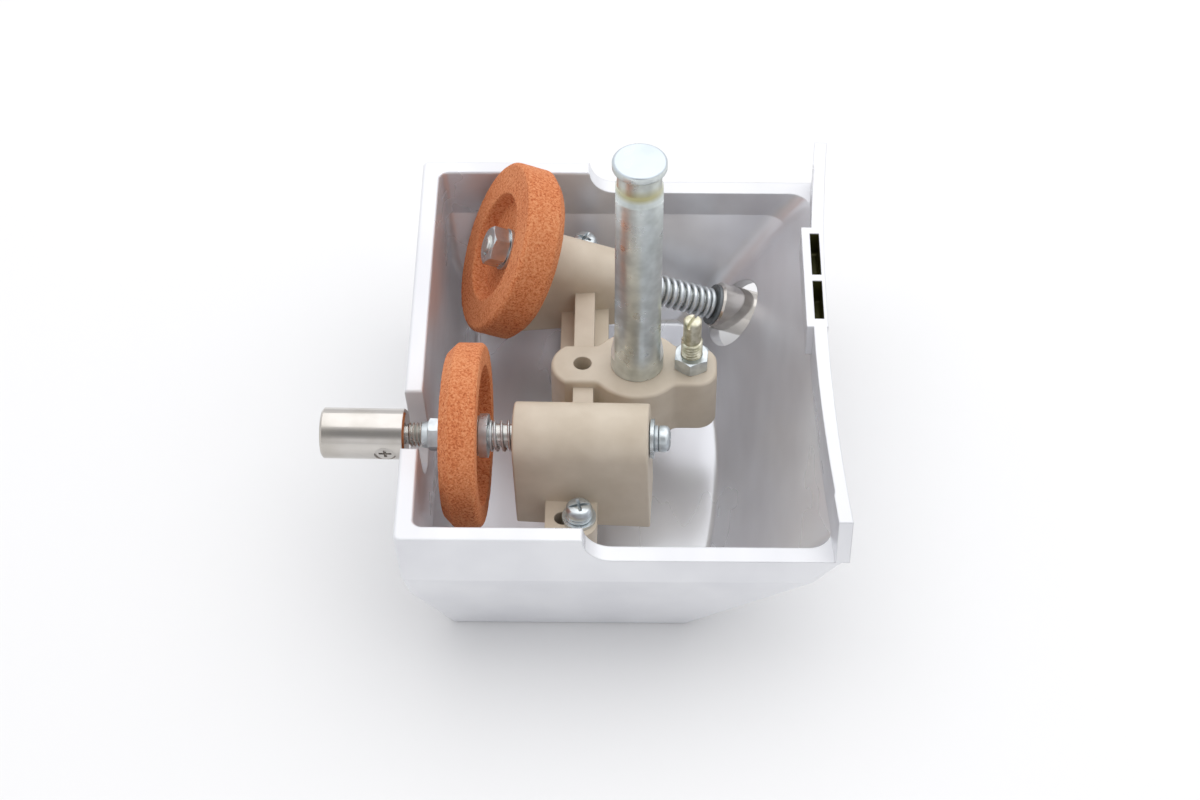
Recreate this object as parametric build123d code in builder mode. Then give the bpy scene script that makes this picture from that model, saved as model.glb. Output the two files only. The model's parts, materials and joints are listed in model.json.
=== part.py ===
"""Two-stone push-button sharpener unit of a slicing machine, lying open side up.

A cast cover holds a moulded bracket. The bracket carries a mounting post, an adjusting
screw and two sprung spindles, each with an abrasive cup wheel and a push button.

Units are millimetres. The origin is on the resting plane under the post, +X runs from the
front button towards the sloped wall, +Y from the front wheel to the rear wheel, +Z up.
"""

import os
from math import cos, hypot, pi, radians, sin, sqrt

from build123d import *

os.makedirs("parts", exist_ok=True)

# ---------------------------------------------------------------- clearances
RUNNING = 0.05          # radial clearance of a spindle in its bore
SEAT_GAP = 0.3          # gap between a moving piece and the face that stops it
THREAD_CLEARANCE = 0.05  # radial clearance of a screw in its nut or tapped hole
HOLE_CLEARANCE = 0.25   # radial clearance of a bolt in a plain hole

# ---------------------------------------------------------------- cover
CASE_FRONT = -78.3      # outer faces of the front and back walls, above the kink
CASE_BACK = 69.6
BASE_FRONT = -62.1      # where the same walls meet the resting plane
BASE_BACK = 53.4
KINK_LEVEL = 36.6       # height where the front and back walls turn inwards
HIGH_RIM = 52.6
LOW_RIM = 45.0
RIM_STEP_X = -14.1      # where the high rim ends
LEFT_RIM_X = -63.1      # outer face of the left wall, from the rim down
LEFT_KINK_X = -61.8
LEFT_BREAK_LEVEL = 24.5
LEFT_BREAK_X = -60.5
LEFT_BASE_X = -50.8
SLOPE_BASE_MID_X = 24.2  # outer face of the sloped wall at the resting plane
SLOPE_BASE_END_X = 14.6
SLOPE_RIM_MID_X = 51.7  # and at the low rim
SLOPE_RIM_END_X = 55.1
WALL = 5.0
FLOOR = 5.0
FLANGE_THICKNESS = 3.7
FLANGE_TOP = 60.6
OUTER_LEFT_RADIUS = 2.0
OUTER_RIGHT_RADIUS = 3.0
INNER_LEFT_RADIUS = 2.5
INNER_RIGHT_RADIUS = 6.0
HIGH_RIM_ROUNDING = 0.8
BASE_ROUNDING = 1.2
FLOOR_ROUNDING = 2.0
NOTCH_HALF_WIDTH = 10.4
BUTTON_HOLE_DIAMETER = 21.0
BUTTON_HOLE_OFFSET = (0.4, -2.0, 0.6)  # of its axis from the rear spindle's

PAD_FRONT = -7.0        # thickened pad on the flange, with two pockets
PAD_BACK = 33.0
PAD_BOTTOM = 50.0
PAD_INNER_X = 46.1
PAD_OUTER_X = 52.0
POCKET_INNER_X = 48.4
POCKET_OUTER_X = 51.0
POCKET_DEPTH = 8.0
POCKET_SPANS = ((-3.9, 11.2), (13.6, 30.5))

PILLAR_DIAMETER = 9.6

# ---------------------------------------------------------------- bracket
BRACKET_BASE = 21.2     # flat underside of the whole bracket
BLOCK_TOP = 38.7
LOCATING_X = -15.3      # centre of the left lobe and its hole
LOCATING_DIAMETER = 5.1
LEFT_LOBE_RADIUS = 8.8
LEFT_LOBE_HALF_WIDTH = 7.3
POST_LOBE_RADIUS = 13.1
ADJUSTER_X = 15.2
RIGHT_LOBE_EDGE_X = 22.4
RIGHT_LOBE_FRONT = -8.1
RIGHT_LOBE_BACK = 7.2
RIGHT_LOBE_CORNER = 5.5
LOBE_BLEND = 3.0
BLOCK_ROUNDING = 1.0
ARM_X = -15.0
ARM_WIDTH = 13.7
ARM_TOP = 29.4
RIB_WIDTH = 5.7
RIB_TOP = 36.4
FRONT_BARREL_RADIUS = 9.4
REAR_BARREL_RADIUS = 8.4
SADDLE_BASE = 23.0      # underside of the barrels' upright sides
BARREL_ROUNDING = 0.6
FRONT_BARREL_LENGTH = 36.4
REAR_BARREL_LENGTH = 33.0
LUG_LEFT_X = -24.7
FRONT_LUG_RIGHT_X = -10.6
REAR_LUG_RIGHT_X = -9.0
LUG_TOP = 31.9
LUG_CORNER = 5.0
FRONT_LUG_REACH = 6.7   # from the screw to the end of the lug
REAR_LUG_REACH = 3.8
LUG_SLOT_LEFT_X = -22.2
LUG_SLOT_RIGHT_X = -13.1
BRACKET_SCREW_X = -15.5
FRONT_BRACKET_SCREW_Y = -52.0
REAR_BRACKET_SCREW_Y = 53.5

# ---------------------------------------------------------------- post
POST_DIAMETER = 14.7
POST_ACROSS_FLATS = 12.75
POST_HEIGHT = 75.3      # above the block
POST_FOOT_HEIGHT = 4.4  # round foot below the flats
POST_CUTTER_RADIUS = 14.0  # run-out of the flats above the foot
POST_HEAD_THICKNESS = 2.8
POST_NECK_LENGTH = 5.5
POST_NECK_DIAMETER = 12.0
POST_NECK_TAPER = 2.4   # height of the cone from the neck to the stem
POST_SPIGOT_DIAMETER = 10.0
POST_SPIGOT_LENGTH = 14.0

# ---------------------------------------------------------------- threads and fasteners
M6 = 6.0
M6_ACROSS_FLATS = 10.0
M6_NUT_HEIGHT = 5.0
ADJUSTER_NUT_ACROSS_FLATS = 9.0
ADJUSTER_NUT_HEIGHT = 4.3
ADJUSTER_NUT_TURN_DEG = 25.0
FRONT_NUT_ACROSS_FLATS = 8.0
FRONT_NUT_HEIGHT = 3.9
FRONT_NUT_COLLAR_HEIGHT = 1.7
FRONT_NUT_COLLAR_RADII = (3.4, 3.8)
M4 = 4.0
M4_HEAD_DIAMETER = 7.2
M4_HEAD_HEIGHT = 3.2
M4_WASHER_DIAMETER = 9.2
M4_WASHER_THICKNESS = 1.0
M4_LOCK_WASHER_DIAMETER = 7.4
M4_LOCK_WASHER_THICKNESS = 1.2
LOCK_WASHER_SLIT = 0.7
BRACKET_SCREW_LENGTH = 20.0
M3 = 3.0
M3_HEAD_DIAMETER = 5.6
M3_HEAD_HEIGHT = 1.5
CROSS_SLOT_WIDTH = 0.8
CROSS_SLOT_SHARE = 0.62  # length of the driver cross over the head diameter
CROSS_SLOT_DEPTH = 1.3
M3_CROSS_SLOT_DEPTH = 0.9
ADJUSTER_RISE = 17.3    # tip of the adjusting screw above the block
ADJUSTER_POINT_DIAMETER = 5.1
ADJUSTER_THREAD_RISE = 8.6
ADJUSTER_BELOW = 3.0    # thread below the block
ADJUSTER_SLOT_WIDTH = 1.0
ADJUSTER_SLOT_DEPTH = 1.6
ADJUSTER_SLOT_TURN_DEG = -28.0

# ---------------------------------------------------------------- spindles, shared
SHAFT_DIAMETER = 6.5
SHOULDER_DIAMETER = 11.0
JOURNAL_DIAMETER = 5.0
JOURNAL_LENGTH = 17.0
GROOVE_DIAMETER = 3.4
GROOVE_WIDTH = 3.6
WHEEL_DIAMETER = 50.0
BUTTON_DIAMETER = 13.8
BUTTON_LENGTH = 22.9
BUTTON_EDGE = 0.6
BUTTON_SCREW_INSET = 5.4  # from the inner end of the button to its screw
BUTTON_BORE_SPARE = 0.6   # depth of the bore past the end of the journal

# ---------------------------------------------------------------- front spindle
FRONT_WHEEL_CENTRE = (-46.15, -35.3, 46.4)
FRONT_RISE_DEG = 2.0
FRONT_SWING_DEG = -2.7
FRONT_WHEEL_THICKNESS = 10.0
FRONT_RECESS_DIAMETER = 38.0
FRONT_RECESS_DEPTH = 3.5
FRONT_OUTER_CHAMFER = 2.8
FRONT_INNER_CHAMFER = 0.9
FRONT_WHEEL_WASHER_THICKNESS = 1.1
WHEEL_WASHER_DIAMETER = 12.0
FRONT_THREAD_SHOWING = 4.3
FRONT_SHOULDER_THICKNESS = 2.35
SPRING_SEAT_DIAMETER = 12.0
FRONT_SPRING_SEAT_THICKNESS = 2.3
FRONT_SPRING_SHOWING = 7.0
FRONT_SPRING_POCKET_DEPTH = 12.0
FRONT_SPRING_DIAMETER = 8.6
FRONT_SPRING_WIRE = 0.75
FRONT_SPRING_TURNS = 10.5
SPRING_POCKET_CLEARANCE = 0.4
END_WASHER_DIAMETER = 10.7
END_WASHER_THICKNESS = 1.0
END_SCREW_LENGTH = 9.0
FRONT_BUTTON_SCREW_DROP_DEG = -12.0

# ---------------------------------------------------------------- rear spindle
REAR_WHEEL_FACE = (-41.1, 36.2, 49.5)
REAR_DROP_DEG = 24.8
REAR_SWING_DEG = 6.6
REAR_WHEEL_THICKNESS = 12.0
REAR_RECESS_DIAMETER = 31.4
REAR_RECESS_DEPTH = 4.0
REAR_OUTER_CHAMFER = 0.9
REAR_BACK_CHAMFER = 2.5
REAR_WHEEL_WASHER_THICKNESS = 1.0
REAR_THREAD_PAST_NUT = 0.8
REAR_SHOULDER_THICKNESS = 3.7
REAR_SPRING_SHOWING = 21.2
REAR_SPRING_DIAMETER = 9.2
REAR_SPRING_WIRE = 1.15
REAR_SPRING_TURNS = 8.5
REAR_SPRING_WASHER_THICKNESS = 0.8
REAR_BUTTON_SCREW_DROP_DEG = -120.0

# ---------------------------------------------------------------- frames
ACROSS = 400.0          # longer than any cut or cutting solid needs to be


def tilted_frame(origin: tuple, swing_deg: float, rise_deg: float) -> Plane:
    """Frame whose Z runs along a spindle, with X level and Y pointing up."""
    swing = radians(swing_deg)
    rise = radians(rise_deg)
    along = (cos(rise) * cos(swing), cos(rise) * sin(swing), sin(rise))
    level = (-sin(swing), cos(swing), 0)
    return Plane(origin=origin, x_dir=level, z_dir=along)


FRONT = tilted_frame(FRONT_WHEEL_CENTRE, FRONT_SWING_DEG, FRONT_RISE_DEG)
REAR = tilted_frame(REAR_WHEEL_FACE, REAR_SWING_DEG, -REAR_DROP_DEG)
UPRIGHT = Plane.XY

# Stations along the front spindle, from the middle of its wheel towards the right.
front_wheel_left = -FRONT_WHEEL_THICKNESS / 2
front_wheel_right = FRONT_WHEEL_THICKNESS / 2
front_recess_floor = front_wheel_right - FRONT_RECESS_DEPTH
front_nut_right = front_wheel_left - FRONT_WHEEL_WASHER_THICKNESS
front_nut_left = front_nut_right - FRONT_NUT_HEIGHT
front_collar_left = front_nut_left - FRONT_NUT_COLLAR_HEIGHT
front_button_right = front_collar_left - FRONT_THREAD_SHOWING
front_button_left = front_button_right - BUTTON_LENGTH
front_shoulder_right = front_recess_floor + FRONT_SHOULDER_THICKNESS
front_seat_right = front_shoulder_right + FRONT_SPRING_SEAT_THICKNESS
front_barrel_left = front_seat_right + FRONT_SPRING_SHOWING
front_barrel_right = front_barrel_left + FRONT_BARREL_LENGTH
front_pocket_floor = front_barrel_left + FRONT_SPRING_POCKET_DEPTH
front_end_face = front_barrel_right + SEAT_GAP

# Stations along the rear spindle, from the outer face of its wheel towards the button.
rear_recess_floor = REAR_RECESS_DEPTH
rear_nut_back = rear_recess_floor - REAR_WHEEL_WASHER_THICKNESS
rear_nut_front = rear_nut_back - M6_NUT_HEIGHT
rear_shoulder_back = REAR_WHEEL_THICKNESS + REAR_SHOULDER_THICKNESS
rear_barrel_start = rear_shoulder_back + SEAT_GAP
rear_barrel_end = rear_barrel_start + REAR_BARREL_LENGTH
rear_button_start = rear_barrel_end + REAR_SPRING_SHOWING + REAR_SPRING_WASHER_THICKNESS
rear_button_end = rear_button_start + BUTTON_LENGTH


# ---------------------------------------------------------------- helpers
def turn(frame: Plane, outline: list, mode: Mode = Mode.ADD) -> None:
    """Revolve an outline of (radius, station) corners about the Z axis of a frame."""
    meridian = Plane(origin=frame.origin, x_dir=frame.x_dir, z_dir=-frame.y_dir)
    with BuildSketch(meridian) as profile:
        with BuildLine():
            Polyline(*outline, close=True)
        make_face()
    revolve(profile.sketch, axis=Axis(frame.origin, frame.z_dir), mode=mode)


def rod(frame: Plane, radius: float, start: float, end: float, mode: Mode = Mode.ADD) -> None:
    """Cylinder along a frame's Z axis, between two stations."""
    with BuildSketch(frame.offset(start)) as disc:
        Circle(radius)
    extrude(disc.sketch, amount=end - start, mode=mode)


def ring(frame: Plane, outer: float, inner: float, start: float, end: float) -> None:
    """Flat washer along a frame's Z axis, between two stations."""
    with BuildSketch(frame.offset(start)) as face:
        Circle(outer)
        Circle(inner, mode=Mode.SUBTRACT)
    extrude(face.sketch, amount=end - start)


def slit(frame: Plane, reach: float, width: float, start: float, end: float) -> None:
    """Radial cut that makes a spring washer out of a flat one."""
    with BuildSketch(frame.offset(start)) as gap:
        with Locations((reach / 2, 0)):
            Rectangle(reach, width)
    extrude(gap.sketch, amount=end - start, mode=Mode.SUBTRACT)


def driver_cross(frame: Plane, head_diameter: float, top: float, depth: float) -> None:
    """Cross for a screwdriver, cut down into a head from its top station."""
    with BuildSketch(frame.offset(top - depth)) as cross:
        Rectangle(CROSS_SLOT_SHARE * head_diameter, CROSS_SLOT_WIDTH)
        Rectangle(CROSS_SLOT_WIDTH, CROSS_SLOT_SHARE * head_diameter)
    extrude(cross.sketch, amount=depth, mode=Mode.SUBTRACT)


def pan_screw(frame: Plane, under_head: float, shank_length: float) -> None:
    """M4 pan-head screw, its head above the given station and its shank below."""
    head_radius = M4_HEAD_DIAMETER / 2
    top = under_head + M4_HEAD_HEIGHT
    outline = [
        (0, under_head - shank_length),
        (M4 / 2, under_head - shank_length),
        (M4 / 2, under_head),
        (head_radius, under_head),
        (head_radius, under_head + 0.5 * M4_HEAD_HEIGHT),
        (0.86 * head_radius, under_head + 0.83 * M4_HEAD_HEIGHT),
        (0.55 * head_radius, top),
        (0, top),
    ]
    turn(frame, outline)
    driver_cross(frame, M4_HEAD_DIAMETER, top, CROSS_SLOT_DEPTH)


def hex_nut(frame: Plane, start: float, height: float, across_flats: float, turn_deg: float = 0) -> None:
    """M6 nut with chamfered corners, from a station along a frame's Z axis."""
    end = start + height
    flat_radius = across_flats / 2
    corner_radius = flat_radius / cos(pi / 6)
    drop = (corner_radius - flat_radius) / sqrt(3)
    with BuildSketch(frame.offset(start)) as hexagon:
        RegularPolygon(corner_radius, 6, rotation=turn_deg)
    extrude(hexagon.sketch, amount=height)
    bound = [
        (0, start),
        (flat_radius, start),
        (corner_radius, start + drop),
        (corner_radius, end - drop),
        (flat_radius, end),
        (0, end),
    ]
    turn(frame, bound, mode=Mode.INTERSECT)
    rod(frame, M6 / 2 + THREAD_CLEARANCE, start, end, mode=Mode.SUBTRACT)


def finish(piece: BuildPart, name: str) -> None:
    """Label a finished piece and write it to its own file."""
    piece.part.label = name
    export_step(piece.part, f"parts/{name}.step")


# ---------------------------------------------------------------- cover
def between(level: float, low: tuple, high: tuple) -> float:
    """Value on the straight line through two (level, value) pairs."""
    share = (level - low[0]) / (high[0] - low[0])
    return low[1] + share * (high[1] - low[1])


def case_section(level: float, wall: float, slope_wall: float, left_radius: float,
                 right_radius: float, right_limit: float | None = None) -> Sketch:
    """Level section of the cover's outline, moved inwards by the wall thicknesses."""
    sunk = min(level, KINK_LEVEL)
    low = min(level, LOW_RIM)
    front = between(sunk, (0, BASE_FRONT), (KINK_LEVEL, CASE_FRONT)) + wall
    back = between(sunk, (0, BASE_BACK), (KINK_LEVEL, CASE_BACK)) - wall
    if level <= LEFT_BREAK_LEVEL:
        left = between(level, (0, LEFT_BASE_X), (LEFT_BREAK_LEVEL, LEFT_BREAK_X)) + wall
    elif level <= KINK_LEVEL:
        left = between(level, (LEFT_BREAK_LEVEL, LEFT_BREAK_X), (KINK_LEVEL, LEFT_KINK_X)) + wall
    else:
        drafted = min(level, HIGH_RIM)
        left = between(drafted, (KINK_LEVEL, LEFT_KINK_X), (HIGH_RIM, LEFT_RIM_X)) + wall
    middle = (front + back) / 2
    right_mid = between(low, (0, SLOPE_BASE_MID_X), (LOW_RIM, SLOPE_RIM_MID_X)) - slope_wall
    right_end = between(low, (0, SLOPE_BASE_END_X), (LOW_RIM, SLOPE_RIM_END_X)) - slope_wall
    with BuildSketch(Plane.XY.offset(level)) as section:
        with BuildLine():
            if right_limit is None:
                ThreePointArc((right_end, front), (right_mid, middle), (right_end, back))
                Polyline((right_end, back), (left, back), (left, front), (right_end, front))
            else:
                Polyline((right_limit, back), (left, back), (left, front), (right_limit, front), close=True)
        make_face()
        fillet(section.vertices().group_by(Axis.X)[0], left_radius)
        if right_limit is None:
            fillet(section.vertices().group_by(Axis.X)[-1], right_radius)
    return section.sketch


def edges_at(piece: BuildPart, level: float) -> ShapeList:
    """Outer edges of a piece's upward faces at one height."""
    faces = piece.faces().filter_by(
        lambda face: abs(face.center().Z - level) < 1e-3 and face.normal_at().Z > 0.99
    )
    edges = ShapeList()
    for face in faces:
        edges.extend(face.outer_wire().edges())
    return edges


step_radius = HIGH_RIM - LOW_RIM
rim_step_end_x = RIM_STEP_X + step_radius
case_middle_y = (CASE_FRONT + CASE_BACK) / 2
pillars = [
    Plane.XY.move(Location((BRACKET_SCREW_X, screw_y, 0)))
    for screw_y in (FRONT_BRACKET_SCREW_Y, REAR_BRACKET_SCREW_Y)
]

with BuildPart() as cavity:
    inner_levels = (FLOOR, LEFT_BREAK_LEVEL, KINK_LEVEL, LOW_RIM, HIGH_RIM, FLANGE_TOP + WALL)
    inner_sections = [
        case_section(level, WALL, FLANGE_THICKNESS, INNER_LEFT_RADIUS, INNER_RIGHT_RADIUS)
        for level in inner_levels
    ]
    loft(inner_sections, ruled=True)
    fillet(cavity.faces().sort_by(Axis.Z)[0].edges(), FLOOR_ROUNDING)
    # The pillars under the bracket stand in the cavity, so they end where the walls begin.
    for pillar in pillars:
        rod(pillar, PILLAR_DIAMETER / 2, 0, BRACKET_BASE, mode=Mode.SUBTRACT)

with BuildPart() as housing:
    outer_levels = (0, LEFT_BREAK_LEVEL, KINK_LEVEL, LOW_RIM)
    outer_sections = [
        case_section(level, 0, 0, OUTER_LEFT_RADIUS, OUTER_RIGHT_RADIUS) for level in outer_levels
    ]
    loft(outer_sections, ruled=True)
    raised_sections = [
        case_section(level, 0, 0, OUTER_LEFT_RADIUS, OUTER_RIGHT_RADIUS, rim_step_end_x)
        for level in (LOW_RIM, HIGH_RIM)
    ]
    loft(raised_sections, ruled=True)
    # The high rim drops to the low one through a hollow quarter round.
    step_frame = Plane(origin=(rim_step_end_x, 0, HIGH_RIM), x_dir=(1, 0, 0), z_dir=(0, 1, 0))
    rod(step_frame, step_radius, -ACROSS / 2, ACROSS / 2, mode=Mode.SUBTRACT)
    # Bowed flange along the top of the sloped wall.
    with BuildSketch(Plane.XY.offset(LOW_RIM)) as flange_plan:
        with BuildLine():
            ThreePointArc(
                (SLOPE_RIM_END_X, CASE_FRONT),
                (SLOPE_RIM_MID_X, case_middle_y),
                (SLOPE_RIM_END_X, CASE_BACK),
            )
            Line((SLOPE_RIM_END_X, CASE_BACK), (SLOPE_RIM_END_X - FLANGE_THICKNESS, CASE_BACK))
            ThreePointArc(
                (SLOPE_RIM_END_X - FLANGE_THICKNESS, CASE_BACK),
                (SLOPE_RIM_MID_X - FLANGE_THICKNESS, case_middle_y),
                (SLOPE_RIM_END_X - FLANGE_THICKNESS, CASE_FRONT),
            )
            Line((SLOPE_RIM_END_X - FLANGE_THICKNESS, CASE_FRONT), (SLOPE_RIM_END_X, CASE_FRONT))
        make_face()
    extrude(amount=FLANGE_TOP - LOW_RIM)
    add(cavity.part, mode=Mode.SUBTRACT)
    # Pad with two pockets, open upwards.
    with BuildSketch(Plane.XY.offset(PAD_BOTTOM)) as pad_plan:
        with Locations(((PAD_INNER_X + PAD_OUTER_X) / 2, (PAD_FRONT + PAD_BACK) / 2)):
            Rectangle(PAD_OUTER_X - PAD_INNER_X, PAD_BACK - PAD_FRONT)
    extrude(amount=FLANGE_TOP - PAD_BOTTOM)
    with BuildSketch(Plane.XY.offset(FLANGE_TOP)) as pocket_plan:
        for pocket_front, pocket_back in POCKET_SPANS:
            with Locations(((POCKET_INNER_X + POCKET_OUTER_X) / 2, (pocket_front + pocket_back) / 2)):
                Rectangle(POCKET_OUTER_X - POCKET_INNER_X, pocket_back - pocket_front)
    extrude(amount=-POCKET_DEPTH, mode=Mode.SUBTRACT)
    # Notch that lets the front button in.
    notch_frame = Plane(origin=(LEFT_RIM_X, *FRONT_WHEEL_CENTRE[1:]), x_dir=(0, 1, 0), z_dir=(1, 0, 0))
    with BuildSketch(notch_frame.offset(-WALL)) as notch:
        Circle(NOTCH_HALF_WIDTH)
        with Locations((0, ACROSS / 2)):
            Rectangle(2 * NOTCH_HALF_WIDTH, ACROSS)
    extrude(amount=4 * WALL, mode=Mode.SUBTRACT)
    # Hole for the rear button.
    hole_frame = Plane(origin=REAR.origin + Vector(*BUTTON_HOLE_OFFSET), x_dir=REAR.x_dir, z_dir=REAR.z_dir)
    rod(hole_frame, BUTTON_HOLE_DIAMETER / 2, rear_barrel_end, rear_button_end, mode=Mode.SUBTRACT)
    # Tapped holes in the pillars.
    screw_end = LUG_TOP + M4_WASHER_THICKNESS + M4_LOCK_WASHER_THICKNESS - BRACKET_SCREW_LENGTH
    for pillar in pillars:
        rod(pillar, M4 / 2 + THREAD_CLEARANCE, screw_end - 1, BRACKET_BASE, mode=Mode.SUBTRACT)
    fillet(housing.faces().sort_by(Axis.Z)[0].outer_wire().edges(), BASE_ROUNDING)
    fillet(edges_at(housing, HIGH_RIM), HIGH_RIM_ROUNDING)
finish(housing, "housing")

# ---------------------------------------------------------------- bracket
front_axis_at_block = FRONT_WHEEL_CENTRE[1] + (ARM_X - FRONT_WHEEL_CENTRE[0]) * FRONT.z_dir.Y / FRONT.z_dir.X
rear_axis_at_block = REAR_WHEEL_FACE[1] + (ARM_X - REAR_WHEEL_FACE[0]) * REAR.z_dir.Y / REAR.z_dir.X


def barrel(frame: Plane, start: float, length: float, radius: float) -> Part:
    """Bearing barrel with a round top and upright sides, cut off level below."""
    with BuildPart() as blank:
        with BuildSketch(frame.offset(start)):
            Circle(radius)
            with Locations((0, -ACROSS / 2)):
                Rectangle(2 * radius, ACROSS)
        extrude(amount=length)
        ends = blank.faces().filter_by(lambda face: face.normal_at().cross(frame.z_dir).length < 1e-6)
        rims = ends.edges().filter_by(lambda edge: edge.center().Z > SADDLE_BASE)
        fillet(rims, BARREL_ROUNDING)
        split(bisect_by=Plane.XY.offset(SADDLE_BASE), keep=Keep.TOP)
    return blank.part


def arm(start_y: float, end_y: float) -> None:
    """Arm from the block to a barrel, with a rib along its top."""
    across_arm = Plane(origin=(ARM_X, start_y, BRACKET_BASE), x_dir=(1, 0, 0), z_dir=(0, -1, 0))
    with BuildSketch(across_arm) as profile:
        for width, top in ((ARM_WIDTH, ARM_TOP), (RIB_WIDTH, RIB_TOP)):
            with Locations((0, (top - BRACKET_BASE) / 2)):
                Rectangle(width, top - BRACKET_BASE)
    extrude(profile.sketch, amount=start_y - end_y)


def lug(start_y: float, end_y: float, right_x: float) -> None:
    """Slotted fixing lug beside a barrel, with rounded outer corners."""
    outward = 1 if end_y > start_y else -1
    with BuildSketch(Plane.XY.offset(BRACKET_BASE)) as plan:
        with Locations(((LUG_LEFT_X + right_x) / 2, (start_y + end_y) / 2)):
            Rectangle(right_x - LUG_LEFT_X, abs(end_y - start_y))
        outer = plan.vertices().filter_by(lambda corner: outward * (corner.Y - end_y) > -1e-6)
        fillet(outer.sort_by(Axis.X)[-1], LUG_CORNER)
    extrude(plan.sketch, amount=LUG_TOP - BRACKET_BASE)


with BuildPart() as bracket:
    with BuildSketch(Plane.XY.offset(BRACKET_BASE)) as block_plan:
        with Locations((LOCATING_X, 0)):
            Circle(LEFT_LOBE_RADIUS)
            Rectangle(2 * LEFT_LOBE_RADIUS, 2 * LEFT_LOBE_HALF_WIDTH, mode=Mode.INTERSECT)
        with Locations((LOCATING_X / 2, 0)):
            Rectangle(-LOCATING_X, 2 * LEFT_LOBE_HALF_WIDTH)
        with Locations((RIGHT_LOBE_EDGE_X / 2, (RIGHT_LOBE_FRONT + RIGHT_LOBE_BACK) / 2)):
            RectangleRounded(RIGHT_LOBE_EDGE_X, RIGHT_LOBE_BACK - RIGHT_LOBE_FRONT, RIGHT_LOBE_CORNER)
        Circle(POST_LOBE_RADIUS)
        waists = block_plan.vertices().filter_by(
            lambda corner: abs(hypot(corner.X, corner.Y) - POST_LOBE_RADIUS) < 1e-4
        )
        fillet(waists, LOBE_BLEND)
    extrude(amount=BLOCK_TOP - BRACKET_BASE)
    fillet(bracket.faces().sort_by(Axis.Z)[-1].edges(), BLOCK_ROUNDING)
    arm(0, front_axis_at_block)
    arm(rear_axis_at_block, 0)
    lug(front_axis_at_block, FRONT_BRACKET_SCREW_Y - FRONT_LUG_REACH, FRONT_LUG_RIGHT_X)
    lug(rear_axis_at_block, REAR_BRACKET_SCREW_Y + REAR_LUG_REACH, REAR_LUG_RIGHT_X)
    add(barrel(FRONT, front_barrel_left, FRONT_BARREL_LENGTH, FRONT_BARREL_RADIUS))
    add(barrel(REAR, rear_barrel_start, REAR_BARREL_LENGTH, REAR_BARREL_RADIUS))
    # Spindle bores, and the pocket that takes the inner turns of the front spring.
    bore_radius = SHAFT_DIAMETER / 2 + RUNNING
    pocket_radius = FRONT_SPRING_DIAMETER / 2 + SPRING_POCKET_CLEARANCE
    rod(FRONT, bore_radius, front_barrel_left - 1, front_barrel_right + 1, mode=Mode.SUBTRACT)
    rod(FRONT, pocket_radius, front_barrel_left - 1, front_pocket_floor, mode=Mode.SUBTRACT)
    rod(REAR, bore_radius, rear_barrel_start - 1, rear_barrel_end + 1, mode=Mode.SUBTRACT)
    # Locating hole, post socket and the hole of the adjusting screw.
    with BuildSketch(Plane.XY.offset(BLOCK_TOP)) as block_holes:
        with Locations((LOCATING_X, 0)):
            Circle(LOCATING_DIAMETER / 2)
        with Locations((ADJUSTER_X, 0)):
            Circle(M6 / 2 + THREAD_CLEARANCE)
    extrude(amount=BRACKET_BASE - BLOCK_TOP, mode=Mode.SUBTRACT)
    rod(UPRIGHT, POST_SPIGOT_DIAMETER / 2, BLOCK_TOP - POST_SPIGOT_LENGTH, BLOCK_TOP, mode=Mode.SUBTRACT)
    # Slots that let the bracket be set sideways under its screws.
    with BuildSketch(Plane.XY.offset(BRACKET_BASE)) as slots:
        slot_width = M4 + 2 * HOLE_CLEARANCE
        for screw_y in (FRONT_BRACKET_SCREW_Y, REAR_BRACKET_SCREW_Y):
            with Locations(((LUG_SLOT_LEFT_X + LUG_SLOT_RIGHT_X) / 2, screw_y)):
                SlotOverall(LUG_SLOT_RIGHT_X - LUG_SLOT_LEFT_X, slot_width)
    extrude(amount=LUG_TOP - BRACKET_BASE, mode=Mode.SUBTRACT)
finish(bracket, "bracket")

# ---------------------------------------------------------------- post and adjusting screw
post_top = BLOCK_TOP + POST_HEIGHT
foot_top = BLOCK_TOP + POST_FOOT_HEIGHT
head_bottom = post_top - POST_HEAD_THICKNESS
neck_bottom = head_bottom - POST_NECK_LENGTH


def run_out(depth: float) -> tuple:
    """Point of a flat's curved run-out, in X and Z, at a depth outside the flat."""
    flat_x = POST_ACROSS_FLATS / 2
    full_depth = POST_DIAMETER / 2 - flat_x
    bottom = foot_top + sqrt(POST_CUTTER_RADIUS**2 - (POST_CUTTER_RADIUS - full_depth) ** 2)
    return flat_x + depth, bottom - sqrt(POST_CUTTER_RADIUS**2 - (POST_CUTTER_RADIUS - depth) ** 2)


with BuildPart() as post:
    post_radius = POST_DIAMETER / 2
    neck_radius = POST_NECK_DIAMETER / 2
    turn(UPRIGHT, [
        (0, BLOCK_TOP - POST_SPIGOT_LENGTH),
        (POST_SPIGOT_DIAMETER / 2, BLOCK_TOP - POST_SPIGOT_LENGTH),
        (POST_SPIGOT_DIAMETER / 2, BLOCK_TOP),
        (post_radius, BLOCK_TOP),
        (post_radius, neck_bottom - POST_NECK_TAPER),
        (neck_radius, neck_bottom),
        (neck_radius, head_bottom),
        (post_radius, head_bottom),
        (post_radius, post_top),
        (0, post_top),
    ])
    # Two flats, milled from the neck down to the foot, where the cutter ran out.
    with BuildSketch(Plane.XZ) as flats:
        with BuildLine():
            past = POST_DIAMETER - POST_ACROSS_FLATS
            Line((POST_ACROSS_FLATS / 2, neck_bottom), run_out(0))
            ThreePointArc(run_out(0), run_out(past / 3), run_out(past))
            Polyline(run_out(past), (run_out(past)[0], neck_bottom), (POST_ACROSS_FLATS / 2, neck_bottom))
        make_face()
        mirror(about=Plane.YZ)
    extrude(amount=POST_DIAMETER, both=True, mode=Mode.SUBTRACT)
finish(post, "post")

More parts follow.
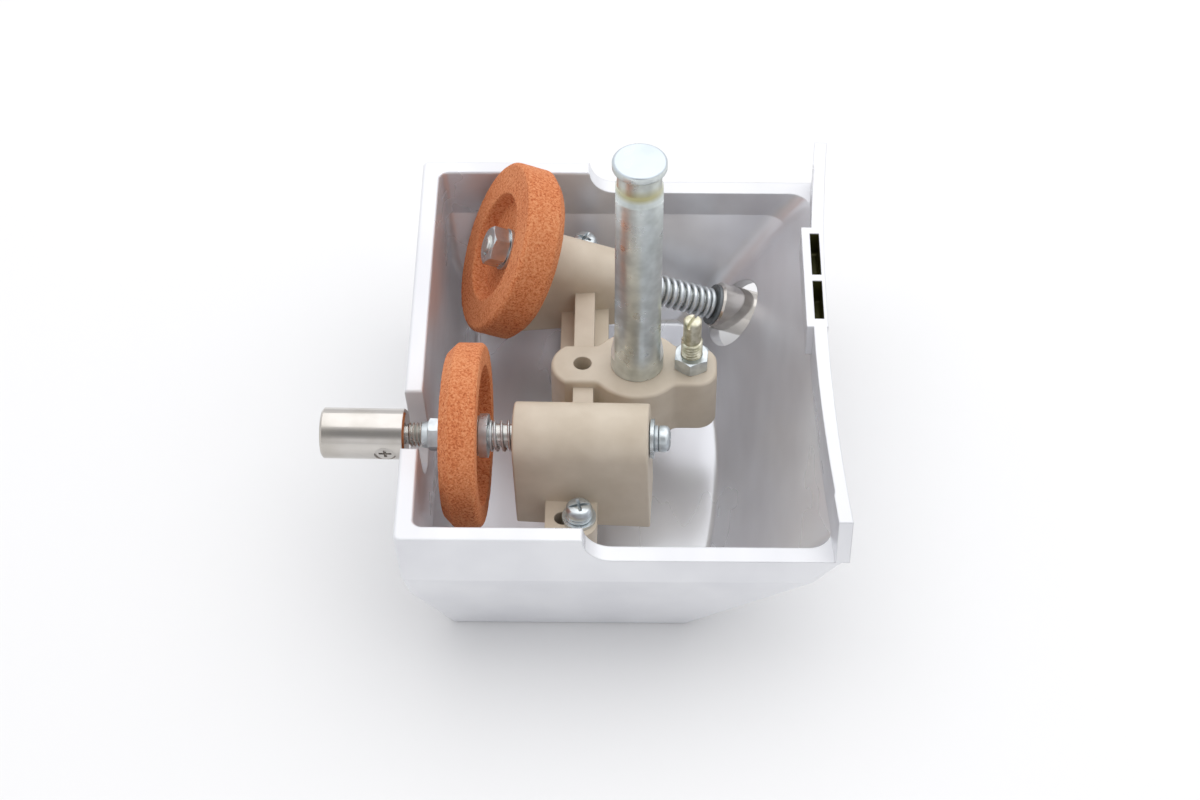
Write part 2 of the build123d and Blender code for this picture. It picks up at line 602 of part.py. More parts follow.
adjuster_frame = Plane.XY.move(Location((ADJUSTER_X, 0, 0)))
adjuster_tip = BLOCK_TOP + ADJUSTER_RISE

with BuildPart() as adjusting_screw:
    point_radius = ADJUSTER_POINT_DIAMETER / 2
    thread_end = BLOCK_TOP + ADJUSTER_THREAD_RISE
    turn(adjuster_frame, [
        (0, BRACKET_BASE - ADJUSTER_BELOW),
        (M6 / 2, BRACKET_BASE - ADJUSTER_BELOW),
        (M6 / 2, thread_end),
        (point_radius, thread_end + (M6 / 2 - point_radius)),
        (point_radius, adjuster_tip - 0.5),
        (point_radius - 0.5, adjuster_tip),
        (0, adjuster_tip),
    ])
    with BuildSketch(adjuster_frame.offset(adjuster_tip)) as driver_slot:
        Rectangle(ADJUSTER_SLOT_WIDTH, 2 * M6, rotation=ADJUSTER_SLOT_TURN_DEG)
    extrude(amount=-ADJUSTER_SLOT_DEPTH, mode=Mode.SUBTRACT)
finish(adjusting_screw, "adjusting_screw")

with BuildPart() as adjusting_lock_nut:
    hex_nut(
        adjuster_frame, BLOCK_TOP, ADJUSTER_NUT_HEIGHT, ADJUSTER_NUT_ACROSS_FLATS, ADJUSTER_NUT_TURN_DEG
    )
finish(adjusting_lock_nut, "adjusting_lock_nut")

# ---------------------------------------------------------------- bracket screws
for end, screw_y in (("front", FRONT_BRACKET_SCREW_Y), ("rear", REAR_BRACKET_SCREW_Y)):
    screw_frame = Plane.XY.move(Location((BRACKET_SCREW_X, screw_y, 0)))
    washer_top = LUG_TOP + M4_WASHER_THICKNESS
    lock_washer_top = washer_top + M4_LOCK_WASHER_THICKNESS
    clear_radius = M4 / 2 + HOLE_CLEARANCE

    with BuildPart() as bracket_washer:
        ring(screw_frame, M4_WASHER_DIAMETER / 2, clear_radius, LUG_TOP, washer_top)
    finish(bracket_washer, f"{end}_bracket_washer")

    with BuildPart() as bracket_lock_washer:
        ring(screw_frame, M4_LOCK_WASHER_DIAMETER / 2, clear_radius, washer_top, lock_washer_top)
        slit(screw_frame, M4_LOCK_WASHER_DIAMETER, LOCK_WASHER_SLIT, washer_top, lock_washer_top)
    finish(bracket_lock_washer, f"{end}_bracket_lock_washer")

    with BuildPart() as bracket_screw:
        pan_screw(screw_frame, lock_washer_top, BRACKET_SCREW_LENGTH)
    finish(bracket_screw, f"{end}_bracket_screw")


# ---------------------------------------------------------------- spindles and wheels
def button(frame: Plane, inner_end: float, outward: int, screw_frame: Plane) -> None:
    """Push button with its journal bore and its countersunk side screw's seat."""
    radius = BUTTON_DIAMETER / 2
    outer_end = inner_end + outward * BUTTON_LENGTH
    bore_end = inner_end + outward * (JOURNAL_LENGTH + BUTTON_BORE_SPARE)
    bore = JOURNAL_DIAMETER / 2 + RUNNING
    turn(frame, [
        (bore, inner_end),
        (radius - BUTTON_EDGE, inner_end),
        (radius, inner_end + outward * BUTTON_EDGE),
        (radius, outer_end - outward * BUTTON_EDGE),
        (radius - BUTTON_EDGE, outer_end),
        (0, outer_end),
        (0, bore_end),
        (bore, bore_end),
    ])
    rod(screw_frame, M3 / 2 + THREAD_CLEARANCE, 0, radius, mode=Mode.SUBTRACT)
    head_seat = button_screw_top - M3_HEAD_HEIGHT
    rod(screw_frame, M3_HEAD_DIAMETER / 2 + THREAD_CLEARANCE, head_seat, radius + 1, mode=Mode.SUBTRACT)


def button_screw(screw_frame: Plane) -> None:
    """M3 screw in the side of a button, its tip in the groove of the journal."""
    head_seat = button_screw_top - M3_HEAD_HEIGHT
    tip = GROOVE_DIAMETER / 2 + SEAT_GAP
    turn(screw_frame, [
        (0, tip),
        (M3 / 2, tip),
        (M3 / 2, head_seat),
        (M3_HEAD_DIAMETER / 2, head_seat),
        (M3_HEAD_DIAMETER / 2, button_screw_top),
        (0, button_screw_top),
    ])
    driver_cross(screw_frame, M3_HEAD_DIAMETER, button_screw_top, M3_CROSS_SLOT_DEPTH)


def journal_outline(inner_end: float, outward: int) -> list:
    """Corners of the spindle's journal inside the button, with the groove for its screw."""
    journal = JOURNAL_DIAMETER / 2
    groove = GROOVE_DIAMETER / 2
    groove_start = inner_end + outward * (BUTTON_SCREW_INSET - GROOVE_WIDTH / 2)
    groove_end = groove_start + outward * GROOVE_WIDTH
    tip = inner_end + outward * JOURNAL_LENGTH
    return [
        (journal, inner_end - outward * SEAT_GAP),
        (journal, groove_start),
        (groove, groove_start),
        (groove, groove_end),
        (journal, groove_end),
        (journal, tip),
        (0, tip),
    ]


def side_frame(frame: Plane, station: float, elevation_deg: float) -> Plane:
    """Frame at a station of a spindle whose Z points sideways, at an angle above level."""
    elevation = radians(elevation_deg)
    sideways = -cos(elevation) * frame.x_dir + sin(elevation) * frame.y_dir
    return Plane(origin=frame.origin + station * frame.z_dir, x_dir=frame.z_dir, z_dir=sideways)


button_screw_top = sqrt((BUTTON_DIAMETER / 2) ** 2 - (M3_HEAD_DIAMETER / 2) ** 2)
thread_radius = M6 / 2
shaft_radius = SHAFT_DIAMETER / 2
shoulder_radius = SHOULDER_DIAMETER / 2
wheel_bore = M6 / 2 + HOLE_CLEARANCE
wheel_radius = WHEEL_DIAMETER / 2
washer_radius = WHEEL_WASHER_DIAMETER / 2
front_screw_frame = side_frame(
    FRONT, front_button_right - BUTTON_SCREW_INSET, FRONT_BUTTON_SCREW_DROP_DEG
)
rear_screw_frame = side_frame(
    REAR, rear_button_start + BUTTON_SCREW_INSET, REAR_BUTTON_SCREW_DROP_DEG
)

with BuildPart() as front_button:
    button(FRONT, front_button_right, -1, front_screw_frame)
finish(front_button, "front_button")

with BuildPart() as front_button_screw:
    button_screw(front_screw_frame)
finish(front_button_screw, "front_button_screw")

with BuildPart() as front_spindle:
    turn(FRONT, [
        (0, front_end_face),
        (shaft_radius, front_end_face),
        (shaft_radius, front_shoulder_right),
        (shoulder_radius, front_shoulder_right),
        (shoulder_radius, front_recess_floor),
        (thread_radius, front_recess_floor),
        (thread_radius, front_button_right + SEAT_GAP),
        *journal_outline(front_button_right, -1),
    ])
    end_hole_bottom = front_end_face + END_WASHER_THICKNESS + M4_LOCK_WASHER_THICKNESS - END_SCREW_LENGTH
    rod(FRONT, M4 / 2 + THREAD_CLEARANCE, end_hole_bottom - 1, front_end_face, mode=Mode.SUBTRACT)
finish(front_spindle, "front_spindle")

with BuildPart() as front_wheel:
    turn(FRONT, [
        (wheel_bore, front_wheel_left),
        (wheel_radius - FRONT_OUTER_CHAMFER, front_wheel_left),
        (wheel_radius, front_wheel_left + FRONT_OUTER_CHAMFER),
        (wheel_radius, front_wheel_right - FRONT_INNER_CHAMFER),
        (wheel_radius - FRONT_INNER_CHAMFER, front_wheel_right),
        (FRONT_RECESS_DIAMETER / 2, front_wheel_right),
        (FRONT_RECESS_DIAMETER / 2 - FRONT_INNER_CHAMFER, front_recess_floor),
        (wheel_bore, front_recess_floor),
    ])
finish(front_wheel, "front_wheel")

with BuildPart() as front_wheel_washer:
    ring(FRONT, washer_radius, wheel_bore, front_nut_right, front_wheel_left)
finish(front_wheel_washer, "front_wheel_washer")

with BuildPart() as front_wheel_nut:
    hex_nut(FRONT, front_nut_left, FRONT_NUT_HEIGHT, FRONT_NUT_ACROSS_FLATS)
    nut_bore = M6 / 2 + THREAD_CLEARANCE
    turn(FRONT, [
        (nut_bore, front_collar_left),
        (FRONT_NUT_COLLAR_RADII[0], front_collar_left),
        (FRONT_NUT_COLLAR_RADII[1], front_nut_left),
        (nut_bore, front_nut_left),
    ])
finish(front_wheel_nut, "front_wheel_nut")

with BuildPart() as front_spring_seat:
    ring(FRONT, SPRING_SEAT_DIAMETER / 2, shaft_radius + RUNNING, front_shoulder_right, front_seat_right)
finish(front_spring_seat, "front_spring_seat")

end_washer_right = front_end_face + END_WASHER_THICKNESS
end_lock_washer_right = end_washer_right + M4_LOCK_WASHER_THICKNESS

with BuildPart() as front_end_washer:
    ring(FRONT, END_WASHER_DIAMETER / 2, M4 / 2 + HOLE_CLEARANCE, front_end_face, end_washer_right)
finish(front_end_washer, "front_end_washer")

with BuildPart() as front_end_lock_washer:
    ring(FRONT, M4_LOCK_WASHER_DIAMETER / 2, M4 / 2 + HOLE_CLEARANCE, end_washer_right, end_lock_washer_right)
    slit(FRONT, M4_LOCK_WASHER_DIAMETER, LOCK_WASHER_SLIT, end_washer_right, end_lock_washer_right)
finish(front_end_lock_washer, "front_end_lock_washer")

with BuildPart() as front_end_screw:
    pan_screw(FRONT, end_lock_washer_right, END_SCREW_LENGTH)
finish(front_end_screw, "front_end_screw")

with BuildPart() as rear_button:
    button(REAR, rear_button_start, 1, rear_screw_frame)
finish(rear_button, "rear_button")

with BuildPart() as rear_button_screw:
    button_screw(rear_screw_frame)
finish(rear_button_screw, "rear_button_screw")

with BuildPart() as rear_spindle:
    turn(REAR, [
        (0, rear_nut_front - REAR_THREAD_PAST_NUT),
        (thread_radius, rear_nut_front - REAR_THREAD_PAST_NUT),
        (thread_radius, REAR_WHEEL_THICKNESS),
        (shoulder_radius, REAR_WHEEL_THICKNESS),
        (shoulder_radius, rear_shoulder_back),
        (shaft_radius, rear_shoulder_back),
        (shaft_radius, rear_button_start - SEAT_GAP),
        *journal_outline(rear_button_start, 1),
    ])
finish(rear_spindle, "rear_spindle")

with BuildPart() as rear_wheel:
    turn(REAR, [
        (wheel_bore, rear_recess_floor),
        (REAR_RECESS_DIAMETER / 2 - REAR_OUTER_CHAMFER, rear_recess_floor),
        (REAR_RECESS_DIAMETER / 2, 0),
        (wheel_radius - REAR_OUTER_CHAMFER, 0),
        (wheel_radius, REAR_OUTER_CHAMFER),
        (wheel_radius, REAR_WHEEL_THICKNESS - REAR_BACK_CHAMFER),
        (wheel_radius - REAR_BACK_CHAMFER, REAR_WHEEL_THICKNESS),
        (wheel_bore, REAR_WHEEL_THICKNESS),
    ])
finish(rear_wheel, "rear_wheel")

with BuildPart() as rear_wheel_washer:
    ring(REAR, washer_radius, wheel_bore, rear_nut_back, rear_recess_floor)
finish(rear_wheel_washer, "rear_wheel_washer")

with BuildPart() as rear_wheel_nut:
    hex_nut(REAR, rear_nut_front, M6_NUT_HEIGHT, M6_ACROSS_FLATS)
finish(rear_wheel_nut, "rear_wheel_nut")

rear_spring_end = rear_button_start - REAR_SPRING_WASHER_THICKNESS

with BuildPart() as rear_spring_washer:
    ring(REAR, washer_radius, shaft_radius + RUNNING, rear_spring_end, rear_button_start)
finish(rear_spring_washer, "rear_spring_washer")


# ---------------------------------------------------------------- springs
HALF_TURNS_PER_TURN = 2


def coil_point(angle: float, radius: float, pitch: float) -> Vector:
    """Point of a helix about Z, at an angle from its start."""
    return Vector(radius * cos(angle), radius * sin(angle), pitch * angle / (2 * pi))


def coil_tangent(angle: float, radius: float, pitch: float) -> Vector:
    """Unit direction of the same helix."""
    return Vector(-radius * sin(angle), radius * cos(angle), pitch / (2 * pi)).normalized()


def biarc(start: Vector, start_way: Vector, end: Vector, end_way: Vector) -> None:
    """Two arcs that join two points and keep the direction at both."""
    span = end - start
    ways = start_way + end_way
    square = 2 * (start_way.dot(end_way) - 1)
    linear = -2 * span.dot(ways)
    reach = (-linear - sqrt(linear**2 - 4 * square * span.dot(span))) / (2 * square)
    joint = (start + start_way * reach + end - end_way * reach) * 0.5
    TangentArc(start, joint, tangent=start_way)
    TangentArc(end, joint, tangent=-end_way)


def coil(frame: Plane, start: float, end: float, outer: float, wire: float, turns: float, name: str) -> Part:
    """Compression spring between two stations, as one tube swept along its helix."""
    radius = (outer - wire) / 2
    length = end - start - wire - 2 * SEAT_GAP
    pitch = length / turns
    steps = round(turns * HALF_TURNS_PER_TURN)
    angles = [step * pi for step in range(steps + 1)]
    with BuildPart() as spring:
        with BuildLine() as centre_line:
            for low, high in zip(angles, angles[1:]):
                biarc(
                    coil_point(low, radius, pitch),
                    coil_tangent(low, radius, pitch),
                    coil_point(high, radius, pitch),
                    coil_tangent(high, radius, pitch),
                )
        wire_face = Plane(origin=coil_point(0, radius, pitch), z_dir=coil_tangent(0, radius, pitch))
        with BuildSketch(wire_face) as section:
            Circle(wire / 2)
        path = centre_line.wires()[0]
        sweep(section.sketch, path=path)
    samples = [path.position_at(step / (steps * 24)) for step in range(steps * 24 + 1)]
    half_turn = 12 * HALF_TURNS_PER_TURN
    gap = min(
        (samples[far] - samples[near]).length
        for near in range(len(samples))
        for far in range(near + half_turn, len(samples))
    ) - wire
    expected = pi * (wire / 2) ** 2 * path.length
    print(f"{name}: least gap {gap:.2f} mm, volume {spring.part.volume:.1f} of {expected:.1f} mm3")
    seated = frame.offset(start + SEAT_GAP + wire / 2)
    return spring.part.moved(seated.location)


with BuildPart() as front_spring:
    add(coil(FRONT, front_seat_right, front_pocket_floor, FRONT_SPRING_DIAMETER, FRONT_SPRING_WIRE,
             FRONT_SPRING_TURNS, "front_spring"))
finish(front_spring, "front_spring")

with BuildPart() as rear_spring:
    add(coil(REAR, rear_barrel_end, rear_spring_end, REAR_SPRING_DIAMETER, REAR_SPRING_WIRE,
             REAR_SPRING_TURNS, "rear_spring"))
finish(rear_spring, "rear_spring")
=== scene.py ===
"""Dressed model of a slicing machine's two-stone sharpener unit, lying open side up.

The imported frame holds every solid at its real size. This script gives each one its finish and
replaces the turned, wound and ground pieces with finer ones: wheels with grit, coil springs,
threads, screw heads and the post. Sizes are in millimetres, and only mesh code sees metres.
"""
import json
import logging
import math
from dataclasses import dataclass
from enum import Enum
from typing import Sequence
import bmesh
import bpy
from mathutils import Matrix, Vector, noise


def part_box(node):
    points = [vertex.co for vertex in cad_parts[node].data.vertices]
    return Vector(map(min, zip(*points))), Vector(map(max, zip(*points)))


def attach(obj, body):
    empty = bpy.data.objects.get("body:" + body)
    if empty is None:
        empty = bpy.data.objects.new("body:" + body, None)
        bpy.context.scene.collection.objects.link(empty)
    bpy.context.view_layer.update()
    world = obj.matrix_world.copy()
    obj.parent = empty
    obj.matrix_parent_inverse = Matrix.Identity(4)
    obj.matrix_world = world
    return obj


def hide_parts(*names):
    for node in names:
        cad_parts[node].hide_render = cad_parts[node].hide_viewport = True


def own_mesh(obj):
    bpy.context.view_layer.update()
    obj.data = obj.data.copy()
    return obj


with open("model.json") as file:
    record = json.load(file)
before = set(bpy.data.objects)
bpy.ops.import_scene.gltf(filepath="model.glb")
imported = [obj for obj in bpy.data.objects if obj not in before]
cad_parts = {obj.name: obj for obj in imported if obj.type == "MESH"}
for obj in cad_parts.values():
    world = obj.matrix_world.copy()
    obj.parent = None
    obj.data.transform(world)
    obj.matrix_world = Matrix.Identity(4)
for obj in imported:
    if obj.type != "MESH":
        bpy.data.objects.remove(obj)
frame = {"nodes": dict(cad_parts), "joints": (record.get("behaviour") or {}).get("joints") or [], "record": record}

MM = 0.001
Outline = Sequence[tuple[float, float]]
Colour = tuple[float, float, float, float]
Socket = bpy.types.NodeSocket
Tree = bpy.types.NodeTree
log = logging.getLogger("sharpener")
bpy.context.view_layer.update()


# ---------------------------------------------------------------- colours and nodes
def linear(hex_colour: str) -> Colour:
    """Turn an sRGB hex colour into linear light.

    Args:
        hex_colour: Six hex digits, with or without a leading hash.

    Returns:
        Red, green, blue and an alpha of 1.
    """
    digits = hex_colour.lstrip("#")
    channels = [int(digits[i:i + 2], 16) / 255 for i in (0, 2, 4)]
    red, green, blue = [c / 12.92 if c <= 0.04045 else ((c + 0.055) / 1.055) ** 2.4 for c in channels]
    return red, green, blue, 1.0


def add(tree: Tree, kind: str, settings: dict | None = None, **sockets: object) -> bpy.types.Node:
    """Add a node with its settings, values and links.

    Args:
        tree: Node tree that gets the node.
        kind: Blender's name for the node type, without the ShaderNode prefix.
        settings: Attributes of the node itself.
        **sockets: Inputs by name, with underscores for spaces: a value, or an output to link.

    Returns:
        The new node.
    """
    node = tree.nodes.new(f"ShaderNode{kind}")
    for key, value in (settings or {}).items():
        setattr(node, key, value)
    for key, value in sockets.items():
        name = key.replace("_", " ")
        index = int(key[1:]) if key[0] == "i" and key[1:].isdigit() else None
        socket = node.inputs[index] if index is not None else node.inputs[name]
        if isinstance(value, Socket):
            tree.links.new(value, socket)
        else:
            socket.default_value = value
    return node


def ramp(tree: Tree, factor: Socket, stops: Sequence[tuple[float, str]]) -> Socket:
    """Map a factor on to colours.

    Args:
        tree: Node tree that gets the ramp.
        factor: Output that drives it.
        stops: Position and hex colour of each stop, in order.

    Returns:
        The colour output.
    """
    node = add(tree, "ValToRGB", Fac=factor)
    elements = node.color_ramp.elements
    while len(elements) < len(stops):
        elements.new(0.5)
    for element, (position, colour) in zip(elements, stops):
        element.position = position
        element.color = linear(colour)
    return node.outputs["Color"]


def span(tree: Tree, value: Socket, low: float, high: float,
         to_low: float, to_high: float) -> Socket:
    """Map one range of values on to another, and clamp it.

    Args:
        tree: Node tree that gets the node.
        value: Output that is mapped.
        low: Start of the range that it comes in.
        high: End of that range.
        to_low: Result at the start.
        to_high: Result at the end.

    Returns:
        The mapped output.
    """
    node = add(tree, "MapRange", i0=value, i1=low, i2=high, i3=to_low, i4=to_high)
    return node.outputs[0]


def product(tree: Tree, one: Socket, other: Socket) -> Socket:
    """Multiply two values."""
    return add(tree, "Math", {"operation": "MULTIPLY"}, i0=one, i1=other).outputs[0]


def blend(tree: Tree, share: Socket, base: Socket, over: Socket | Colour) -> Socket:
    """Mix a colour over another.

    Args:
        tree: Node tree that gets the node.
        share: 0 for the base alone, 1 for the other alone.
        base: Colour below.
        over: Colour on top: an output, or a linear colour.

    Returns:
        The mixed colour.
    """
    return add(tree, "Mix", {"data_type": "RGBA"}, i0=share, i6=base, i7=over).outputs[2]


def between(tree: Tree, value: Socket, low: float, high: float) -> Socket:
    """Mask of the places where a value in metres lies between two in millimetres.

    Args:
        tree: Node tree of the material.
        value: Output that is tested.
        low: Lower limit.
        high: Upper limit.

    Returns:
        1 between the limits and 0 elsewhere.
    """
    above = add(tree, "Math", {"operation": "GREATER_THAN"}, i0=value, i1=low * MM).outputs[0]
    below = add(tree, "Math", {"operation": "LESS_THAN"}, i0=value, i1=high * MM).outputs[0]
    return product(tree, above, below)


def per_metre(size_mm: float) -> float:
    """Scale of a noise or cell texture whose features are about this many millimetres wide."""
    return 1.0 / (size_mm * MM)


# ---------------------------------------------------------------- finishes
@dataclass(frozen=True)
class Finish:
    """A surface finish that builds one material."""

    name: str
    slot: str
    edge_radius: float = 0.25

    def shade(self, tree: Tree, place: Socket, edge: Socket) -> dict:
        """Give the sockets of the shader for this finish.

        Args:
            tree: Node tree of the material.
            place: Object coordinates.
            edge: Normal with softened edges.

        Returns:
            Values and outputs by the name of the shader's socket.
        """
        raise NotImplementedError

    def material(self) -> bpy.types.Material:
        """Build the material, or find it if it was built before.

        Returns:
            The material of this finish.
        """
        found = bpy.data.materials.get(self.name)
        if found:
            return found
        material = bpy.data.materials.new(self.name)
        material.use_nodes = True
        tree = material.node_tree
        tree.nodes.clear()
        place = add(tree, "TexCoord").outputs["Object"]
        edge = add(tree, "Bevel", {"samples": 4}, Radius=self.edge_radius * MM).outputs["Normal"]
        shader = add(tree, "BsdfPrincipled", **self.shade(tree, place, edge))
        add(tree, "OutputMaterial", Surface=shader.outputs["BSDF"])
        return material


@dataclass(frozen=True)
class CastAluminium(Finish):
    """Die-cast aluminium: blasted and pale outside, shinier inside; painted shade darkens the inside and the flange's
    pockets.
    """

    name: str = "cast_aluminium_blasted"
    slot: str = "cast_aluminium"
    edge_radius: float = 0.6
    outside: str = "#E9EAED"
    outside_stain: str = "#E0E1E5"
    inside: str = "#E6E8ED"
    # Painted shade: the darker clouds on the inner surfaces.
    inside_shade: str = "#CDCDD2"
    # Painted shade: dark olive inside the flange's pockets.
    pocket_shade: str = "#5B5A33"
    grain_mm: float = 0.35  # blasting leaves 0.1 mm dimples, which wouldn't show
    cloud_mm: float = 26.0
    middle_mm: tuple[float, float, float] = (-6.0, -4.0, 34.0)
    pocket_low_mm: tuple[float, float, float] = (48.3, -4.0, 52.4)
    pocket_high_mm: tuple[float, float, float] = (51.1, 30.6, 60.35)

    def inward(self, tree: Tree, place: Socket) -> Socket:
        """Mask of the surfaces that face the middle of the cover.

        Args:
            tree: Node tree of the material.
            place: Object coordinates.

        Returns:
            1 on the inside and 0 on the outside.
        """
        middle = [c * MM for c in self.middle_mm]
        to_middle = add(tree, "VectorMath", {"operation": "SUBTRACT"}, i0=middle, i1=place)
        facing = add(tree, "TexCoord").outputs["Normal"]
        dot = add(tree, "VectorMath", {"operation": "DOT_PRODUCT"}, i0=to_middle.outputs[0], i1=facing)
        return span(tree, dot.outputs["Value"], -0.0005, 0.0005, 0.0, 1.0)

    def pocketed(self, tree: Tree, place: Socket) -> Socket:
        """Mask of the inside of the flange's two pockets.

        Args:
            tree: Node tree of the material.
            place: Object coordinates.

        Returns:
            1 in the pockets and 0 elsewhere.
        """
        axes = add(tree, "SeparateXYZ", Vector=place).outputs
        mask = None
        for axis, low, high in zip(axes, self.pocket_low_mm, self.pocket_high_mm):
            inside = between(tree, axis, low, high)
            mask = product(tree, mask, inside) if mask else inside
        return mask

    def shade(self, tree: Tree, place: Socket, edge: Socket) -> dict:
        """Give the sockets of the blasted casting; see Finish.shade."""
        inward = self.inward(tree, place)
        drawn = add(tree, "Mapping", Vector=place, Scale=(1.0, 0.35, 1.0))
        cloud = add(tree, "TexNoise", Vector=drawn.outputs[0], Scale=per_metre(self.cloud_mm),
                    Detail=3.0, Roughness=0.5)
        grain = add(tree, "TexNoise", Vector=place, Scale=per_metre(self.grain_mm), Detail=2.0)
        outer = ramp(tree, cloud.outputs[0], ((0.3, self.outside_stain), (0.6, self.outside)))
        # The inner ramp's darker stop paints shade on the inner surfaces.
        inner = ramp(tree, cloud.outputs[0], ((0.3, self.inside_shade), (0.6, self.inside)))
        skin = blend(tree, inward, outer, inner)
        # Paints the flange's pockets dark olive as shade.
        colour = blend(tree, self.pocketed(tree, place), skin, linear(self.pocket_shade))
        dull = span(tree, cloud.outputs[0], 0.3, 0.7, 0.52, 0.44)
        shiny = span(tree, cloud.outputs[0], 0.3, 0.7, 0.38, 0.24)
        bump = add(tree, "Bump", Strength=0.10, Distance=0.05 * MM, Height=grain.outputs[0], Normal=edge)
        return {
            "Base_Color": colour,
            "Metallic": span(tree, inward, 0.0, 1.0, 0.3, 0.5),
            "Roughness": add(tree, "Mix", i0=inward, i2=dull, i3=shiny).outputs[0],
            "Normal": bump.outputs["Normal"],
        }


@dataclass(frozen=True)
class TanNylon(Finish):
    """Moulded glass-filled nylon: matte tan, with a faint mottle and a spark-eroded texture."""

    name: str = "nylon_tan_moulded"
    slot: str = "tan_nylon"
    edge_radius: float = 0.45
    colour: str = "#C6B9A6"
    pale: str = "#D1C5B3"
    texture_mm: float = 0.5  # a spark-eroded mould's 0.1 mm texture, drawn coarser so that it shows
    mottle_mm: float = 9.0

    def shade(self, tree: Tree, place: Socket, edge: Socket) -> dict:
        """Give the sockets of the moulded nylon; see Finish.shade."""
        mottle = add(tree, "TexNoise", Vector=place, Scale=per_metre(self.mottle_mm), Detail=3.0)
        texture = add(tree, "TexNoise", Vector=place, Scale=per_metre(self.texture_mm), Detail=2.0)
        bump = add(tree, "Bump", Strength=0.18, Distance=0.05 * MM, Height=texture.outputs[0], Normal=edge)
        return {
            "Base_Color": ramp(tree, mottle.outputs[0], ((0.35, self.colour), (0.68, self.pale))),
            "Roughness": span(tree, texture.outputs[0], 0.3, 0.7, 0.52, 0.42),
            "IOR": 1.53,
            "Normal": bump.outputs["Normal"],
        }


@dataclass(frozen=True)
class PlatedSteel(Finish):
    """Zinc-plated steel: bright, with soft blotches and drawn lines along the piece."""

    name: str = "steel_zinc_plated"
    slot: str = "zinc_steel"
    edge_radius: float = 0.15
    colour: str = "#D6DDE0"
    blotch: str = "#BFC6C9"
    blotch_mm: float = 3.5
    roughness: float = 0.28
    line_mm: float = 0.3  # drawing lines of 0.05 mm, drawn coarser so that they show
    stretch: tuple[float, float, float] = (1.0, 1.0, 0.06)
    metallic: float = 0.9

    def shade(self, tree: Tree, place: Socket, edge: Socket) -> dict:
        """Give the sockets of the plating; see Finish.shade."""
        drawn = add(tree, "Mapping", Vector=place, Scale=self.stretch)
        blotch = add(tree, "TexNoise", Vector=place, Scale=per_metre(self.blotch_mm), Detail=2.0, Roughness=0.5)
        lines = add(tree, "TexNoise", Vector=drawn.outputs[0], Scale=per_metre(self.line_mm), Detail=3.0)
        bump = add(tree, "Bump", Strength=0.12, Distance=0.03 * MM, Height=lines.outputs[0], Normal=edge)
        return {
            "Base_Color": ramp(tree, blotch.outputs[0], ((0.32, self.blotch), (0.6, self.colour))),
            "Metallic": self.metallic,
            "Roughness": span(tree, blotch.outputs[0], 0.3, 0.7, self.roughness + 0.14, self.roughness - 0.04),
            "Normal": bump.outputs["Normal"],
        }


@dataclass(frozen=True)
class Corundum(Finish):
    """Vitrified corundum: orange-brown grit with pale and dark grains and open pores, without any shine."""

    name: str = "corundum_vitrified"
    slot: str = "corundum"
    edge_radius: float = 0.3
    dark: str = "#AC5730"
    body: str = "#CB7749"
    pale: str = "#DF986A"
    grit_mm: float = 0.4  # 80 grit is 0.2 mm, drawn coarser so that it shows
    pore_mm: float = 0.7
    patch_mm: float = 14.0

    def shade(self, tree: Tree, place: Socket, edge: Socket) -> dict:
        """Give the sockets of the abrasive; see Finish.shade."""
        grit = add(tree, "TexVoronoi", {"feature": "F1"}, Vector=place, Scale=per_metre(self.grit_mm))
        pores = add(tree, "TexNoise", Vector=place, Scale=per_metre(self.pore_mm), Detail=5.0, Roughness=0.75)
        patch = add(tree, "TexNoise", Vector=place, Scale=per_metre(self.patch_mm), Detail=2.0)
        shade_of_grain = add(tree, "SeparateColor", Color=grit.outputs["Color"]).outputs[0]
        mixed = add(tree, "Math", {"operation": "MULTIPLY_ADD"}, i0=shade_of_grain, i1=0.3, i2=pores.outputs[0])
        toned = add(tree, "Math", {"operation": "MULTIPLY_ADD"}, i0=patch.outputs[0], i1=0.25, i2=mixed.outputs[0])
        colour = ramp(tree, toned.outputs[0], ((0.55, self.dark), (0.7, self.body), (0.97, self.pale)))
        fine = add(tree, "Bump", Strength=0.6, Distance=0.1 * MM, Height=grit.outputs["Distance"], Normal=edge)
        deep = add(tree, "Bump", Strength=0.5, Distance=0.15 * MM, Height=pores.outputs[0], Normal=fine.outputs[0])
        return {"Base_Color": colour, "Roughness": 0.85, "Specular_IOR_Level": 0.3, "Normal": deep.outputs[0]}


